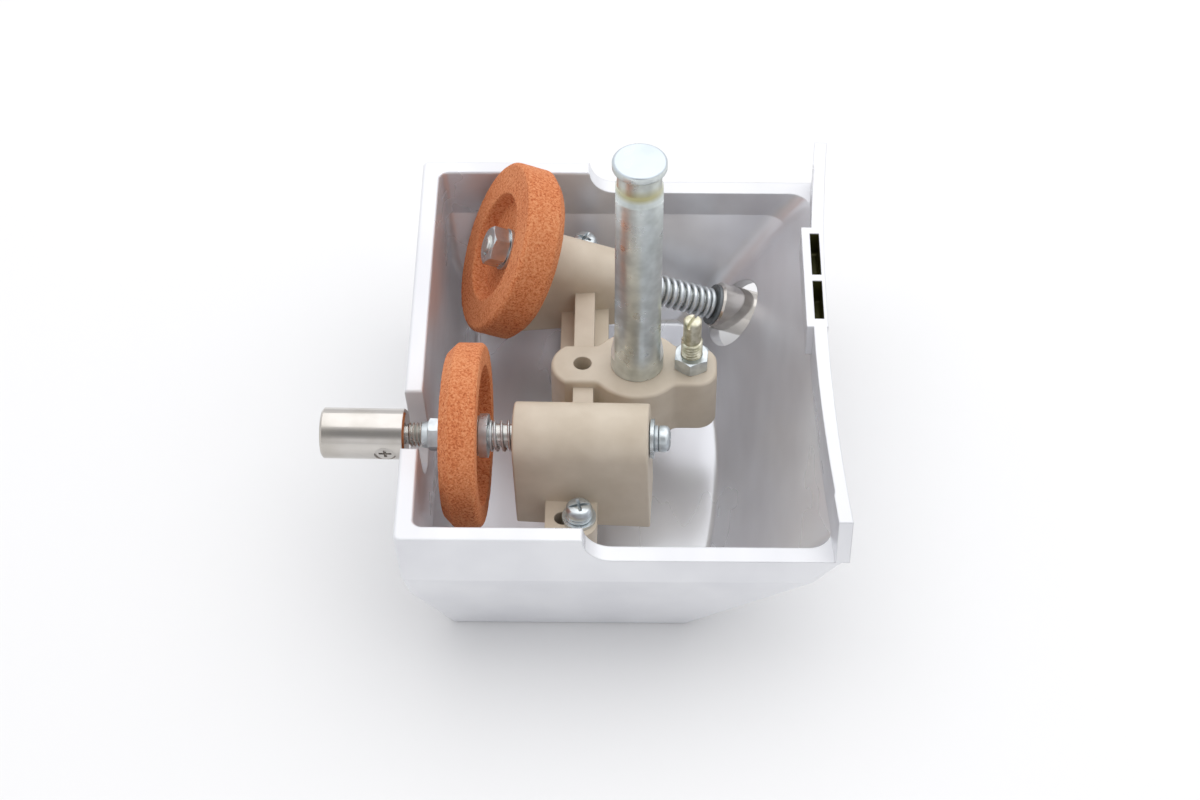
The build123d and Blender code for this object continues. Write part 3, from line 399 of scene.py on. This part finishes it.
@dataclass(frozen=True)
class PostZinc(PlatedSteel):
    """Zinc-plated bar drawn along its length: yellow neck, painted shade there and on top, painted highlights on the
    flats.
    """

    name: str = "steel_zinc_plated_post"
    slot: str = "zinc_steel"
    # Yellow tint of the neck, laid on darker than the bar as painted shade in the undercut.
    neck: str = "#B4AE7E"
    # Painted highlight: near-white on the run-outs of the flats, where light from above glints.
    run_out_highlight: str = "#F3F6F8"
    # Painted shade: the top face is darker so that the lamp's light on it does not clip.
    end: str = "#CCD5DB"
    end_mm: float = 113.6
    neck_band_mm: float = 105.5
    under_head_mm: float = 111.2
    flat_mm: float = 6.33
    foot_mm: float = 43.4
    foot_high_mm: float = 49.0

    def shade(self, tree: Tree, place: Socket, edge: Socket) -> dict:
        """Give the sockets of the plated bar; see Finish.shade."""
        sockets = super().shade(tree, place, edge)
        x, y, z = add(tree, "SeparateXYZ", Vector=place).outputs
        # Painted shade: a darker yellow band at the foot of the neck, strongest on the side toward the camera.
        rising = span(tree, z, (self.neck_band_mm - 1.3) * MM, (self.neck_band_mm - 0.2) * MM, 0.0, 0.9)
        falling = span(tree, z, (self.neck_band_mm + 0.4) * MM, (self.neck_band_mm + 3.0) * MM, 1.0, 0.2)
        camera_side_shade = span(tree, y, -0.006, 0.002, 1.0, 0.3)
        neck_band = product(tree, product(tree, rising, falling), camera_side_shade)
        share = product(tree, neck_band, between(tree, z, 0.0, self.under_head_mm))
        tinted = blend(tree, share, sockets["Base_Color"], linear(self.neck))
        across = add(tree, "Math", {"operation": "ABSOLUTE"}, i0=x).outputs[0]
        on_flat = between(tree, across, self.flat_mm, 10.0)
        # Painted highlight on the run-outs of the flats, just above the foot.
        cut = product(tree, on_flat, between(tree, z, self.foot_mm, self.foot_high_mm))
        bright = blend(tree, cut, tinted, linear(self.run_out_highlight))
        # Paints shade on the top face of the post.
        top_face_shade = span(tree, z, (self.end_mm - 0.1) * MM, self.end_mm * MM, 0.0, 1.0)
        colour = blend(tree, top_face_shade, bright, linear(self.end))
        smooth = add(tree, "Mix", i0=cut, i2=sockets["Roughness"], i3=0.5).outputs[0]
        return {**sockets, "Base_Color": colour, "Roughness": smooth}


# Clear zinc on screws, nuts and washers: pale blue-grey with soft blotches, lit edges and a blurred shine.
ZINC = PlatedSteel()
# The same plating on the drawn post: larger, softer blotches that run along the bar.
POST_ZINC = PostZinc(blotch_mm=5.0, colour="#DCE3E2", blotch="#C2C9C7", roughness=0.28, metallic=0.9)
# Yellow passivated zinc: a straw tint, duller than clear zinc.
YELLOW_ZINC = PlatedSteel("steel_yellow_zinc", "yellow_zinc_steel", 0.12, "#DCD9C6", "#BFBCA2", 1.6, 0.32)
# Polished buttons: a warm mirror that shows the room as sharp bands along the cylinder.
POLISHED = PlatedSteel("steel_polished", "polished_steel", 0.2, "#CDC9C4", "#C1BCB5", 9.0, 0.1, 0.3,
                       (0.05, 1.0, 1.0), 1.0)
# Turned spindles: neutral grey with a satin shine and fine marks.
BRIGHT = PlatedSteel("steel_turned", "bright_steel", 0.15, "#DADBD8", "#C3C4BF", 2.5, 0.24, 0.3, (1.0, 1.0, 1.0))
# Drawn spring wire: paler than the spindle, with one soft highlight on each turn.
WIRE = PlatedSteel("steel_spring_wire", "spring_steel", 0.1, "#E2E8EB", "#CDD3D6", 2.0, 0.3, 0.3, (1.0, 1.0, 1.0), 0.85)
# Rear spring's washer in zinc painted dark grey as shade, so that the spring stands out against it.
WASHER_SHADE_ZINC = PlatedSteel("steel_zinc_painted_shade", "zinc_steel", 0.1, "#8E9396", "#7C8184", 2.0, 0.4)
CASTING = CastAluminium()
NYLON = TanNylon()
ABRASIVE = Corundum()

FINISH_OF_SLOT = {f.slot: f for f in (ZINC, YELLOW_ZINC, POLISHED, BRIGHT, WIRE, CASTING, NYLON, ABRASIVE)}


# ---------------------------------------------------------------- mesh making
@dataclass(frozen=True)
class AxisFrame:
    """Place and direction of a turned piece: its Z axis runs along the piece, in metres."""

    origin: Vector
    along: Vector

    @property
    def matrix(self) -> Matrix:
        """Matrix whose Z is the axis, with X level and Y pointing up."""
        z = self.along.normalized()
        level = Vector((0, 0, 1)).cross(z)
        x = level.normalized() if level.length > 1e-6 else Vector((1, 0, 0))
        turned = Matrix((x, z.cross(x), z)).transposed().to_4x4()
        return Matrix.Translation(self.origin) @ turned

    def point(self, station: float) -> Vector:
        """Point on the axis at a station in millimetres."""
        return self.origin + self.along.normalized() * station * MM


def finish_mesh(shape: bmesh.types.BMesh, name: str, place: Matrix, finish: Finish, body: str,
                smooth_deg: float = 35.0) -> bpy.types.Object:
    """Turn a bmesh into a piece that rides on a body.

    Args:
        shape: The shape, in millimetres in its own frame; it is freed.
        name: Name of the piece.
        place: Matrix from the piece's frame to the part's frame.
        finish: Finish of the piece.
        body: Body that the piece rides on.
        smooth_deg: Edges sharper than this stay sharp.

    Returns:
        The new object, at the origin with its place in its mesh.
    """
    bmesh.ops.remove_doubles(shape, verts=shape.verts, dist=1e-4)
    bmesh.ops.recalc_face_normals(shape, faces=shape.faces)
    bmesh.ops.transform(shape, matrix=place @ Matrix.Scale(MM, 4), verts=shape.verts)
    limit = math.radians(smooth_deg)
    for edge in shape.edges:
        edge.smooth = edge.calc_face_angle(0.0) < limit
    for face in shape.faces:
        face.smooth = True
    mesh = bpy.data.meshes.new(name)
    shape.to_mesh(mesh)
    shape.free()
    piece = bpy.data.objects.new(name, mesh)
    bpy.context.scene.collection.objects.link(piece)
    mesh.materials.append(finish.material())
    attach(piece, body)
    return piece


def open_profile(shape: bmesh.types.BMesh, outline: Outline) -> list:
    """Lay an open chain of edges in the XZ plane.

    Args:
        shape: The bmesh that gets the chain.
        outline: (radius, station) corners in order, in millimetres.

    Returns:
        Its vertices and edges.
    """
    corners = [shape.verts.new((radius, 0, station)) for radius, station in outline]
    edges = [shape.edges.new(pair) for pair in zip(corners, corners[1:])]
    return corners + edges


def lathe(shape: bmesh.types.BMesh, outline: Outline, steps: int = 96) -> None:
    """Add a body of revolution about Z.

    Args:
        shape: The bmesh that gets it.
        outline: (radius, station) corners, from one end of the axis to the other.
        steps: Faces around the axis.
    """
    bmesh.ops.spin(shape, geom=open_profile(shape, outline), cent=(0, 0, 0), axis=(0, 0, 1),
                   angle=math.tau, steps=steps, use_merge=True)


def rounded(outline: Outline, radius: float, segments: int = 4) -> list[tuple[float, float]]:
    """Round every inner corner of an outline.

    Args:
        outline: (radius, station) corners.
        radius: Rounding in millimetres, limited by the sides beside each corner.
        segments: Faces across each rounding.

    Returns:
        The longer outline.
    """
    smooth = [tuple(outline[0])]
    for before, corner, after in zip(outline, outline[1:], outline[2:]):
        here = Vector(corner)
        back, on = Vector(before) - here, Vector(after) - here
        reach = min(radius, 0.45 * back.length, 0.45 * on.length)
        start, end = here + back.normalized() * reach, here + on.normalized() * reach
        for step in range(segments + 1):
            t = step / segments
            smooth.append(tuple((1 - t) ** 2 * start + 2 * t * (1 - t) * here + t**2 * end))
    smooth.append(tuple(outline[-1]))
    return smooth


def screw_thread(shape: bmesh.types.BMesh, radius: float, pitch: float, start: float, end: float,
                 steps: int = 40) -> None:
    """Add a closed helical ridge with a 60 degree form about Z.

    Args:
        shape: The bmesh that gets it.
        radius: Outer radius of the thread.
        pitch: Rise a turn.
        start: Station where it begins.
        end: Station where it ends.
        steps: Faces a turn.
    """
    depth = 0.61 * pitch
    form = ((-1.4, 0.02), (-1.0, 0.06), (-0.06, 0.44), (0.0, 0.5), (-0.06, 0.56), (-1.0, 0.94), (-1.4, 0.98))
    corners = [shape.verts.new((radius + inward * depth, 0, start + rise * pitch)) for inward, rise in form]
    face = shape.faces.new(corners)
    turns = (end - start) / pitch - 1
    total = max(8, round(turns * steps))
    bmesh.ops.spin(shape, geom=[face, *face.edges, *face.verts], cent=(0, 0, 0), axis=(0, 0, 1),
                   dvec=(0, 0, turns * pitch / total), angle=turns * math.tau, steps=total)


def block(low: Sequence[float], high: Sequence[float], turn_deg: float = 0.0) -> bmesh.types.BMesh:
    """Box between two corners, turned about Z afterwards.

    Args:
        low: Lowest corner.
        high: Highest corner.
        turn_deg: Angle of the turn.

    Returns:
        The closed box.
    """
    shape = bmesh.new()
    size = Vector(high) - Vector(low)
    middle = (Vector(high) + Vector(low)) / 2
    turned = Matrix.Rotation(math.radians(turn_deg), 4, "Z")
    bmesh.ops.create_cube(shape, size=1.0, matrix=turned @ Matrix.Translation(middle) @ Matrix.Diagonal((*size, 1)))
    return shape


def carved(blank: bmesh.types.BMesh, cutter: bmesh.types.BMesh) -> bmesh.types.BMesh:
    """Cut one closed shape out of another.

    Args:
        blank: Closed shape that is cut; it is freed.
        cutter: Closed shape that is taken away; it is freed.

    Returns:
        What is left.
    """
    objects = []
    for shape in (blank, cutter):
        bmesh.ops.remove_doubles(shape, verts=shape.verts, dist=1e-4)
        bmesh.ops.recalc_face_normals(shape, faces=shape.faces)
        mesh = bpy.data.meshes.new("carving")
        shape.to_mesh(mesh)
        shape.free()
        objects.append(bpy.data.objects.new("carving", mesh))
        bpy.context.scene.collection.objects.link(objects[-1])
    cut = objects[0].modifiers.new("cut", "BOOLEAN")
    cut.operation = "DIFFERENCE"
    cut.solver = "EXACT"
    cut.object = objects[1]
    left = bpy.data.meshes.new_from_object(objects[0].evaluated_get(bpy.context.evaluated_depsgraph_get()))
    result = bmesh.new()
    result.from_mesh(left)
    bpy.data.meshes.remove(left)
    for entry in objects:
        mesh = entry.data
        bpy.data.objects.remove(entry)
        bpy.data.meshes.remove(mesh)
    return result


def blade(span_mm: float, width: float, depth: float, top: float, turn_deg: float) -> bmesh.types.BMesh:
    """Tapered blade that cuts one arm of a driver recess.

    Args:
        span_mm: Length of the arm at the head's surface.
        width: Its width there.
        depth: Its depth.
        top: Station of the head's surface.
        turn_deg: Direction of the arm.

    Returns:
        The closed cutter, along Z.
    """
    cutter = block((-span_mm / 2, -width / 2, top - depth), (span_mm / 2, width / 2, top + 0.4), turn_deg)
    for corner in cutter.verts:
        if corner.co.z < top:
            corner.co.x *= 0.45
            corner.co.y *= 0.45
    return cutter


# ---------------------------------------------------------------- sub-assemblies
def joint_frame(name: str) -> AxisFrame:
    """Frame of a hinge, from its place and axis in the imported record."""
    joint = next(entry for entry in frame["joints"] if entry["name"] == name)
    return AxisFrame(Vector(joint["pos_m"]), Vector(joint["axis"]))


class Body(Enum):
    """The rigid bodies of the part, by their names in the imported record."""

    COVER = "cover"
    ADJUSTER = "adjuster"
    FRONT_PLUNGER = "front_plunger"
    FRONT_ROTOR = "front_rotor"
    REAR_PLUNGER = "rear_plunger"
    REAR_ROTOR = "rear_rotor"


@dataclass
class PanScrew:
    """M4 pan-head screw whose recess takes a cross or a flat driver."""

    name: str
    place: AxisFrame
    under_head: float
    length: float
    body: Body
    head_radius: float = 3.6
    head_height: float = 3.2
    shank_radius: float = 2.0
    pitch: float = 0.7
    turn_deg: float = 20.0

    def build(self) -> bpy.types.Object:
        """Model the screw in place of its plain solid.

        Returns:
            The finished piece.
        """
        top = self.under_head + self.head_height
        low = self.under_head - self.length
        root = self.shank_radius - 0.42
        head = [
            (root, self.under_head - 0.9),
            (self.shank_radius, self.under_head - 0.6),
            (self.shank_radius, self.under_head),
            (self.head_radius, self.under_head),
            (self.head_radius, self.under_head + 0.62 * self.head_height),
            (0.84 * self.head_radius, self.under_head + 0.9 * self.head_height),
            (0.45 * self.head_radius, top),
            (0, top),
        ]
        shape = bmesh.new()
        lathe(shape, [(0, low)] + rounded([(root, low)] + head, 0.45), 64)
        for span_mm, width, depth, turn_deg in ((5.0, 1.0, 1.7, 0), (5.0, 1.0, 1.7, 90), (9.0, 0.85, 0.9, 0)):
            shape = carved(shape, blade(span_mm, width, depth, top, turn_deg))
        screw_thread(shape, self.shank_radius, self.pitch, low, self.under_head - 0.5, 24)
        place = self.place.matrix @ Matrix.Rotation(math.radians(self.turn_deg), 4, "Z")
        piece = finish_mesh(shape, f"{self.name}_threaded", place, ZINC, self.body.value)
        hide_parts(self.name)
        return piece


@dataclass
class SpringWasher:
    """Split lock washer, its two ends a little apart."""

    name: str
    place: AxisFrame
    start: float
    thickness: float
    body: Body
    inner_radius: float = 2.1
    outer_radius: float = 3.65
    lift: float = 0.22
    slit_deg: float = 9.0

    def build(self) -> bpy.types.Object:
        """Model the washer as a square wire that climbs by its lift.

        Returns:
            The finished piece.
        """
        shape = bmesh.new()
        wire = self.thickness - self.lift
        low, high = self.start, self.start + wire
        inner, outer = self.inner_radius, self.outer_radius
        corners = ((inner, low), (outer, low), (outer, high), (inner, high))
        face = shape.faces.new([shape.verts.new((r, 0, z)) for r, z in corners])
        steps = 48
        bmesh.ops.spin(shape, geom=[face, *face.edges, *face.verts], cent=(0, 0, 0), axis=(0, 0, 1),
                       dvec=(0, 0, self.lift / steps), angle=math.tau - math.radians(self.slit_deg), steps=steps)
        sharp = [edge for edge in shape.edges if edge.calc_face_angle(0.0) > 1.0]
        bmesh.ops.bevel(shape, geom=sharp, offset=0.1, segments=2, profile=0.5, affect="EDGES", material=-1)
        piece = finish_mesh(shape, f"{self.name}_split", self.place.matrix, ZINC, self.body.value)
        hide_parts(self.name)
        return piece


@dataclass
class CoilSpring:
    """Compression spring with closed ends."""

    name: str
    place: AxisFrame
    start: float
    end: float
    outer_diameter: float
    wire: float
    active_turns: float
    joint: str
    fixed_end: float
    travel: float
    sides: int = 12
    steps: int = 40

    def build(self) -> bpy.types.Object:
        """Wind the spring.

        Returns:
            The finished piece.
        """
        radius = (self.outer_diameter - self.wire) / 2
        closed_turns = 1.0
        closed_pitch = 1.08 * self.wire
        length = self.end - self.start - self.wire
        active_pitch = (length - 2 * closed_turns * closed_pitch) / self.active_turns
        shape = bmesh.new()
        section = bmesh.ops.create_circle(shape, cap_ends=True, radius=self.wire / 2, segments=self.sides)
        upright = Matrix.Rotation(math.pi / 2, 4, "X")
        at = Matrix.Translation((radius, 0, self.start + self.wire / 2))
        bmesh.ops.transform(shape, matrix=at @ upright, verts=section["verts"])
        ends = list(shape.faces) + list(shape.edges) + list(shape.verts)
        closed = (closed_turns, closed_pitch)
        for turns, pitch in (closed, (self.active_turns, active_pitch), closed):
            total = round(turns * self.steps)
            spun = bmesh.ops.spin(shape, geom=ends, cent=(0, 0, 0), axis=(0, 0, 1),
                                  dvec=(0, 0, turns * pitch / total), angle=turns * math.tau, steps=total)
            ends = spun["geom_last"]
        piece = finish_mesh(shape, f"{self.name}_wound", self.place.matrix, WIRE, Body.COVER.value, 60.0)
        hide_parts(self.name)
        tuple(self.place.point(self.fixed_end))
        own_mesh(piece)
        return piece


@dataclass
class CupWheel:
    """Abrasive cup wheel with a gritty surface."""

    name: str
    place: AxisFrame
    outline: Outline
    body: Body
    face_mm: float = 0.7
    steps: int = 200
    roughness_mm: float = 0.07
    chip_mm: float = 0.08
    grains_per_mm: float = 1.9
    lumps_per_mm: float = 0.35
    pits_per_mm: float = 0.9
    pit_level: float = 0.42

    def build(self) -> bpy.types.Object:
        """Turn the wheel, divide it finely and push its grains in and out.

        Returns:
            The finished piece.
        """
        shape = bmesh.new()
        lathe(shape, self.subdivided(rounded(self.outline, 0.3, 2)), self.steps)
        bmesh.ops.remove_doubles(shape, verts=shape.verts, dist=1e-4)
        bmesh.ops.recalc_face_normals(shape, faces=shape.faces)
        shape.normal_update()
        for corner in shape.verts:
            grain = noise.noise(corner.co * self.grains_per_mm)
            lump = noise.noise(corner.co * self.lumps_per_mm)
            depth = self.roughness_mm * grain + 0.5 * self.roughness_mm * lump
            pit = max(0.0, noise.noise(corner.co * self.pits_per_mm + Vector((7, 3, 5))) - self.pit_level)
            corner.co += corner.normal * (depth - self.chip_mm * 4 * pit)
        piece = finish_mesh(shape, f"{self.name}_gritty", self.place.matrix, ABRASIVE, self.body.value, 80.0)
        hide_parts(self.name)
        return piece

    def subdivided(self, outline: Outline) -> list[tuple[float, float]]:
        """Divide an outline's long sides.

        Args:
            outline: (radius, station) corners.

        Returns:
            The outline, with no side longer than the face size.
        """
        divided = [tuple(outline[0])]
        for start, end in zip(outline, outline[1:]):
            first, last = Vector(start), Vector(end)
            parts = max(1, math.ceil((last - first).length / self.face_mm))
            divided += [tuple(first.lerp(last, part / parts)) for part in range(1, parts + 1)]
        return divided


@dataclass
class Post:
    """Mounting post: a round bar with a head, an undercut neck and two flats cut by a mill."""

    radius: float = 7.35
    half_flats: float = 6.375
    neck_radius: float = 6.0
    foot: float = 38.7
    foot_height: float = 4.4
    cutter_radius: float = 14.0
    top: float = 114.0
    head: float = 2.8
    neck: float = 5.5
    taper: float = 2.4

    def build(self) -> bpy.types.Object:
        """Turn the bar and mill its flats.

        Returns:
            The finished piece.
        """
        low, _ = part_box("post")
        neck_top = self.top - self.head
        neck_bottom = neck_top - self.neck
        outline = [
            (5.0, low.z / MM),
            (5.0, self.foot),
            (self.radius, self.foot),
            (self.radius, neck_bottom - self.taper),
            (self.neck_radius, neck_bottom),
            (self.neck_radius, neck_top),
            (self.radius - 0.5, neck_top),
            (self.radius, neck_top + 0.5),
            (self.radius, self.top - 0.5),
            (self.radius - 0.6, self.top),
            (0, self.top),
        ]
        shape = bmesh.new()
        lathe(shape, [(0, low.z / MM)] + rounded(outline, 0.4, 5), 160)
        spare = self.radius - self.half_flats
        run_out = math.sqrt(self.cutter_radius**2 - (self.cutter_radius - spare) ** 2)
        level = self.foot + self.foot_height + run_out
        for side in (-1, 1):
            edges = sorted((side * self.half_flats, side * (self.radius + 5)))
            shape = carved(shape, block((edges[0], -12, level), (edges[1], 12, neck_bottom)))
            wheel = bmesh.new()
            centre = Matrix.Translation((side * (self.half_flats + self.cutter_radius), 0, level))
            lying = Matrix.Rotation(math.pi / 2, 4, "X")
            bmesh.ops.create_cone(wheel, cap_ends=True, segments=160, radius1=self.cutter_radius,
                                  radius2=self.cutter_radius, depth=24, matrix=centre @ lying)
            shape = carved(shape, wheel)
        axis = AxisFrame(Vector((0, 0, 0)), Vector((0, 0, 1)))
        piece = finish_mesh(shape, "post_milled", axis.matrix, POST_ZINC, Body.COVER.value, 20.0)
        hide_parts("post")
        return piece


@dataclass
class AdjustingScrew:
    """Threaded screw with a plain, slotted point."""

    radius: float = 3.0
    pitch: float = 1.0
    point_radius: float = 2.55
    thread_end: float = 48.4
    slot_width: float = 1.0
    slot_depth: float = 1.6
    slot_turn_deg: float = -28.0

    def build(self) -> bpy.types.Object:
        """Turn the screw, saw its slot and cut its thread.

        Returns:
            The finished piece.
        """
        low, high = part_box("adjusting_screw")
        centre = (low + high) / 2
        bottom, tip = low.z / MM, high.z / MM
        core = self.radius - 0.61 * self.pitch
        outline = [
            (core, bottom),
            (core, self.thread_end - 0.2),
            (self.point_radius, self.thread_end + 0.3),
            (self.point_radius, tip - 0.4),
            (self.point_radius - 0.5, tip),
            (0, tip),
        ]
        shape = bmesh.new()
        lathe(shape, [(0, bottom)] + rounded(outline, 0.15, 3), 64)
        half = self.slot_width / 2
        slot = block((-half, -6, tip - self.slot_depth), (half, 6, tip + 1), self.slot_turn_deg)
        shape = carved(shape, slot)
        screw_thread(shape, self.radius, self.pitch, bottom, self.thread_end + 0.3)
        place = AxisFrame(Vector((centre.x, centre.y, 0)), Vector((0, 0, 1))).matrix
        piece = finish_mesh(shape, "adjusting_screw_threaded", place, YELLOW_ZINC, Body.ADJUSTER.value)
        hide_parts("adjusting_screw")
        return piece


@dataclass
class Spindle:
    """Turned spindle with its thread, from its button to its far end."""

    name: str
    place: AxisFrame
    outline: Outline
    threads: Sequence[tuple[float, float]]
    body: Body
    thread_radius: float = 3.0
    pitch: float = 1.0

    def build(self) -> bpy.types.Object:
        """Turn the spindle and cut its threads.

        Returns:
            The finished piece.
        """
        shape = bmesh.new()
        lathe(shape, self.outline, 64)
        for start, end in self.threads:
            screw_thread(shape, self.thread_radius, self.pitch, start, end)
        piece = finish_mesh(shape, f"{self.name}_turned", self.place.matrix, BRIGHT, self.body.value)
        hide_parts(self.name)
        return piece


# ---------------------------------------------------------------- studio
@dataclass(frozen=True)
class Studio:
    """White floor, soft lights and the photograph's camera."""

    lens_mm: float = 83.4
    sensor_mm: float = 36.0
    elevation_deg: float = 46.0
    azimuth_deg: float = 0.6
    distance_mm: float = 749.8
    target_mm: tuple[float, float, float] = (-10.1, -27.7, 52.6)
    wall_strength: float = 0.82
    roof_strength: float = 0.97
    lens_strength: float = 0.35
    slot_cosines: tuple[float, float] = (0.86, 0.97)
    tent: str = "#FDFDFF"
    paper: str = "#EFEFEF"
    floor_half_m: float = 3.0
    key_place_mm: tuple[float, float, float] = (160.0, 260.0, 900.0)
    key_size_mm: float = 1600.0
    key_watts: float = 5.8

    @property
    def to_camera(self) -> Vector:
        """Direction from the object to the camera."""
        elevation, azimuth = math.radians(self.elevation_deg), math.radians(self.azimuth_deg)
        return Vector((
            math.sin(azimuth) * math.cos(elevation),
            -math.cos(azimuth) * math.cos(elevation),
            math.sin(elevation),
        ))

    def camera(self) -> None:
        """Set the camera where the photograph was taken from."""
        data = bpy.data.cameras.new("camera")
        data.lens = self.lens_mm
        data.sensor_width = self.sensor_mm
        data.sensor_fit = "HORIZONTAL"
        data.clip_end = 50
        camera = bpy.data.objects.new("camera", data)
        bpy.context.scene.collection.objects.link(camera)
        camera.location = (Vector(self.target_mm) + self.to_camera * self.distance_mm) * MM
        camera.rotation_euler = (-self.to_camera).to_track_quat("-Z", "Y").to_euler()
        bpy.context.scene.camera = camera

    def lamp(self, name: str, place_mm: Sequence[float], size_mm: float, watts: float) -> None:
        """Hang a soft square lamp that points at the object.

        Args:
            name: Name of the lamp.
            place_mm: Its place.
            size_mm: Its side.
            watts: Its power.
        """
        data = bpy.data.lights.new(name, "AREA")
        data.shape = "SQUARE"
        data.size = size_mm * MM
        data.energy = watts
        lamp = bpy.data.objects.new(name, data)
        bpy.context.scene.collection.objects.link(lamp)
        lamp.location = Vector(place_mm) * MM
        aim = Vector((0, 0, 0.03)) - lamp.location
        lamp.rotation_euler = aim.to_track_quat("-Z", "Y").to_euler()

    def floor(self) -> None:
        """Lay the floor: white to the eye and in reflections, with the object's shadow."""
        shape = bmesh.new()
        bmesh.ops.create_grid(shape, x_segments=2, y_segments=2, size=self.floor_half_m)
        mesh = bpy.data.meshes.new("floor")
        shape.to_mesh(mesh)
        shape.free()
        floor = bpy.data.objects.new("floor", mesh)
        bpy.context.scene.collection.objects.link(floor)
        paper = bpy.data.materials.new("paper_white")
        paper.use_nodes = True
        tree = paper.node_tree
        tree.nodes.clear()
        matte = add(tree, "BsdfDiffuse", Color=linear(self.paper))
        add(tree, "OutputMaterial", Surface=matte.outputs[0])
        mesh.materials.append(paper)

    def world(self) -> None:
        """Fill the room with the light of a white tent, brighter overhead and darker at the slot for the lens."""
        world = bpy.data.worlds.new("room")
        world.use_nodes = True
        bpy.context.scene.world = world
        tree = world.node_tree
        tree.nodes.clear()
        direction = add(tree, "TexCoord").outputs["Generated"]
        up = add(tree, "SeparateXYZ", Vector=direction).outputs[2]
        cloth = span(tree, up, 0.0, 0.7, self.wall_strength, self.roof_strength)
        near_lens = add(tree, "VectorMath", {"operation": "DOT_PRODUCT"}, i0=direction, i1=self.to_camera)
        slot = span(tree, near_lens.outputs["Value"], *self.slot_cosines, 1.0, self.lens_strength)
        strength = add(tree, "Math", {"operation": "MULTIPLY"}, i0=cloth, i1=slot)
        tent = add(tree, "Background", Color=linear(self.tent), Strength=strength.outputs[0])
        add(tree, "OutputWorld", Surface=tent.outputs[0])

    def build(self) -> None:
        """Set up the whole studio."""
        self.camera()
        self.floor()
        self.world()
        self.lamp("key", self.key_place_mm, self.key_size_mm, self.key_watts)
        bpy.context.scene.view_settings.view_transform = "Standard"


# ---------------------------------------------------------------- the part
def dress_cad_nodes() -> None:
    """Give every CAD node the finish of its material slot."""
    slots = {entry["node"]: entry["material_slot"] for entry in frame["record"]["subparts"]}
    for name, node in frame["nodes"].items():
        finish = FINISH_OF_SLOT[slots[name]]
        node.data.materials.clear()
        # The rear spring's washer gets zinc painted dark as shade.
        node.data.materials.append((WASHER_SHADE_ZINC if name == "rear_spring_washer" else finish).material())


def build_front(axis: AxisFrame) -> list[bpy.types.Object]:
    """Build the front wheel, spindle, spring and end screw.

    Args:
        axis: Frame of the front spindle, at the middle of its wheel.

    Returns:
        The new pieces.
    """
    wheel = CupWheel("front_wheel", axis, [
        (3.25, -5.0), (22.2, -5.0), (25.0, -2.2), (25.0, 4.1), (24.1, 5.0), (19.0, 5.0), (18.1, 1.5), (3.25, 1.5),
        (3.25, -5.0),
    ], Body.FRONT_ROTOR)
    spindle = Spindle("front_spindle", axis, [
        (0, 49.85), (2.9, 49.85), (3.25, 49.5), (3.25, 3.85), (5.2, 3.85), (5.5, 3.5), (5.5, 1.5), (2.42, 1.5),
        (2.42, -11.0), (2.7, -11.0), (2.7, -15.7), (2.5, -15.7), (2.5, -32.7), (0, -32.7),
    ], [(-15.75, -10.8)], Body.FRONT_ROTOR, thread_radius=3.4, pitch=1.0)
    spring = CoilSpring("front_spring", axis, 6.25, 25.05, 8.6, 0.75, 8.6, "front_push", 25.15, 5.0)
    screw = PanScrew("front_end_screw", axis, 52.05, 9.0, Body.FRONT_ROTOR, turn_deg=35.0)
    washer = SpringWasher("front_end_lock_washer", axis, 50.85, 1.2, Body.FRONT_ROTOR)
    return [entry.build() for entry in (wheel, spindle, spring, screw, washer)]


def build_rear(axis: AxisFrame) -> list[bpy.types.Object]:
    """Build the rear wheel, spindle and spring.

    Args:
        axis: Frame of the rear spindle, at the outer face of its wheel.

    Returns:
        The new pieces.
    """
    wheel = CupWheel("rear_wheel", axis, [
        (3.25, 4.0), (14.8, 4.0), (15.7, 0.0), (24.1, 0.0), (25.0, 0.9), (25.0, 9.5), (22.5, 12.0), (3.25, 12.0),
        (3.25, 4.0),
    ], Body.REAR_ROTOR)
    spindle = Spindle("rear_spindle", axis, [
        (0, -2.8), (2.0, -2.8), (2.42, -2.4), (2.42, 12.0), (5.5, 12.0), (5.5, 15.7), (3.25, 15.7), (3.25, 70.7),
        (2.5, 70.7), (2.5, 88.0), (0, 88.0),
    ], [(-2.7, 12.0)], Body.REAR_ROTOR)
    spring = CoilSpring("rear_spring", axis, 49.05, 70.15, 9.2, 1.35, 7.6, "rear_push", 49.0, 4.0)
    return [entry.build() for entry in (wheel, spindle, spring)]


def build_bracket_fixings() -> list[bpy.types.Object]:
    """Build the two screws and lock washers that hold the bracket.

    Returns:
        The new pieces.
    """
    pieces = []
    for end, turn_deg in (("front", 12.0), ("rear", 60.0)):
        low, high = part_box(f"{end}_bracket_screw")
        centre = (low + high) / 2
        axis = AxisFrame(Vector((centre.x, centre.y, 0)), Vector((0, 0, 1)))
        washer_low, washer_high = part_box(f"{end}_bracket_lock_washer")
        under_head = washer_high.z / MM
        length = under_head - low.z / MM
        pieces.append(PanScrew(f"{end}_bracket_screw", axis, under_head, length, Body.COVER, turn_deg=turn_deg).build())
        thickness = (washer_high.z - washer_low.z) / MM
        start = washer_low.z / MM
        pieces.append(SpringWasher(f"{end}_bracket_lock_washer", axis, start, thickness, Body.COVER).build())
    return pieces


def main() -> None:
    """Dress the frame, build every finer piece and set up the studio."""
    logging.basicConfig(level=logging.INFO, format="%(name)s: %(message)s")
    dress_cad_nodes()
    pieces = [Post().build(), AdjustingScrew().build()]
    pieces += build_bracket_fixings()
    pieces += build_front(joint_frame("front_wheel_spin"))
    pieces += build_rear(joint_frame("rear_wheel_spin"))
    for piece in pieces:
        log.info("%s: %d faces", piece.name, len(piece.data.polygons))
    Studio().build()


if __name__ == "__main__":
    main()
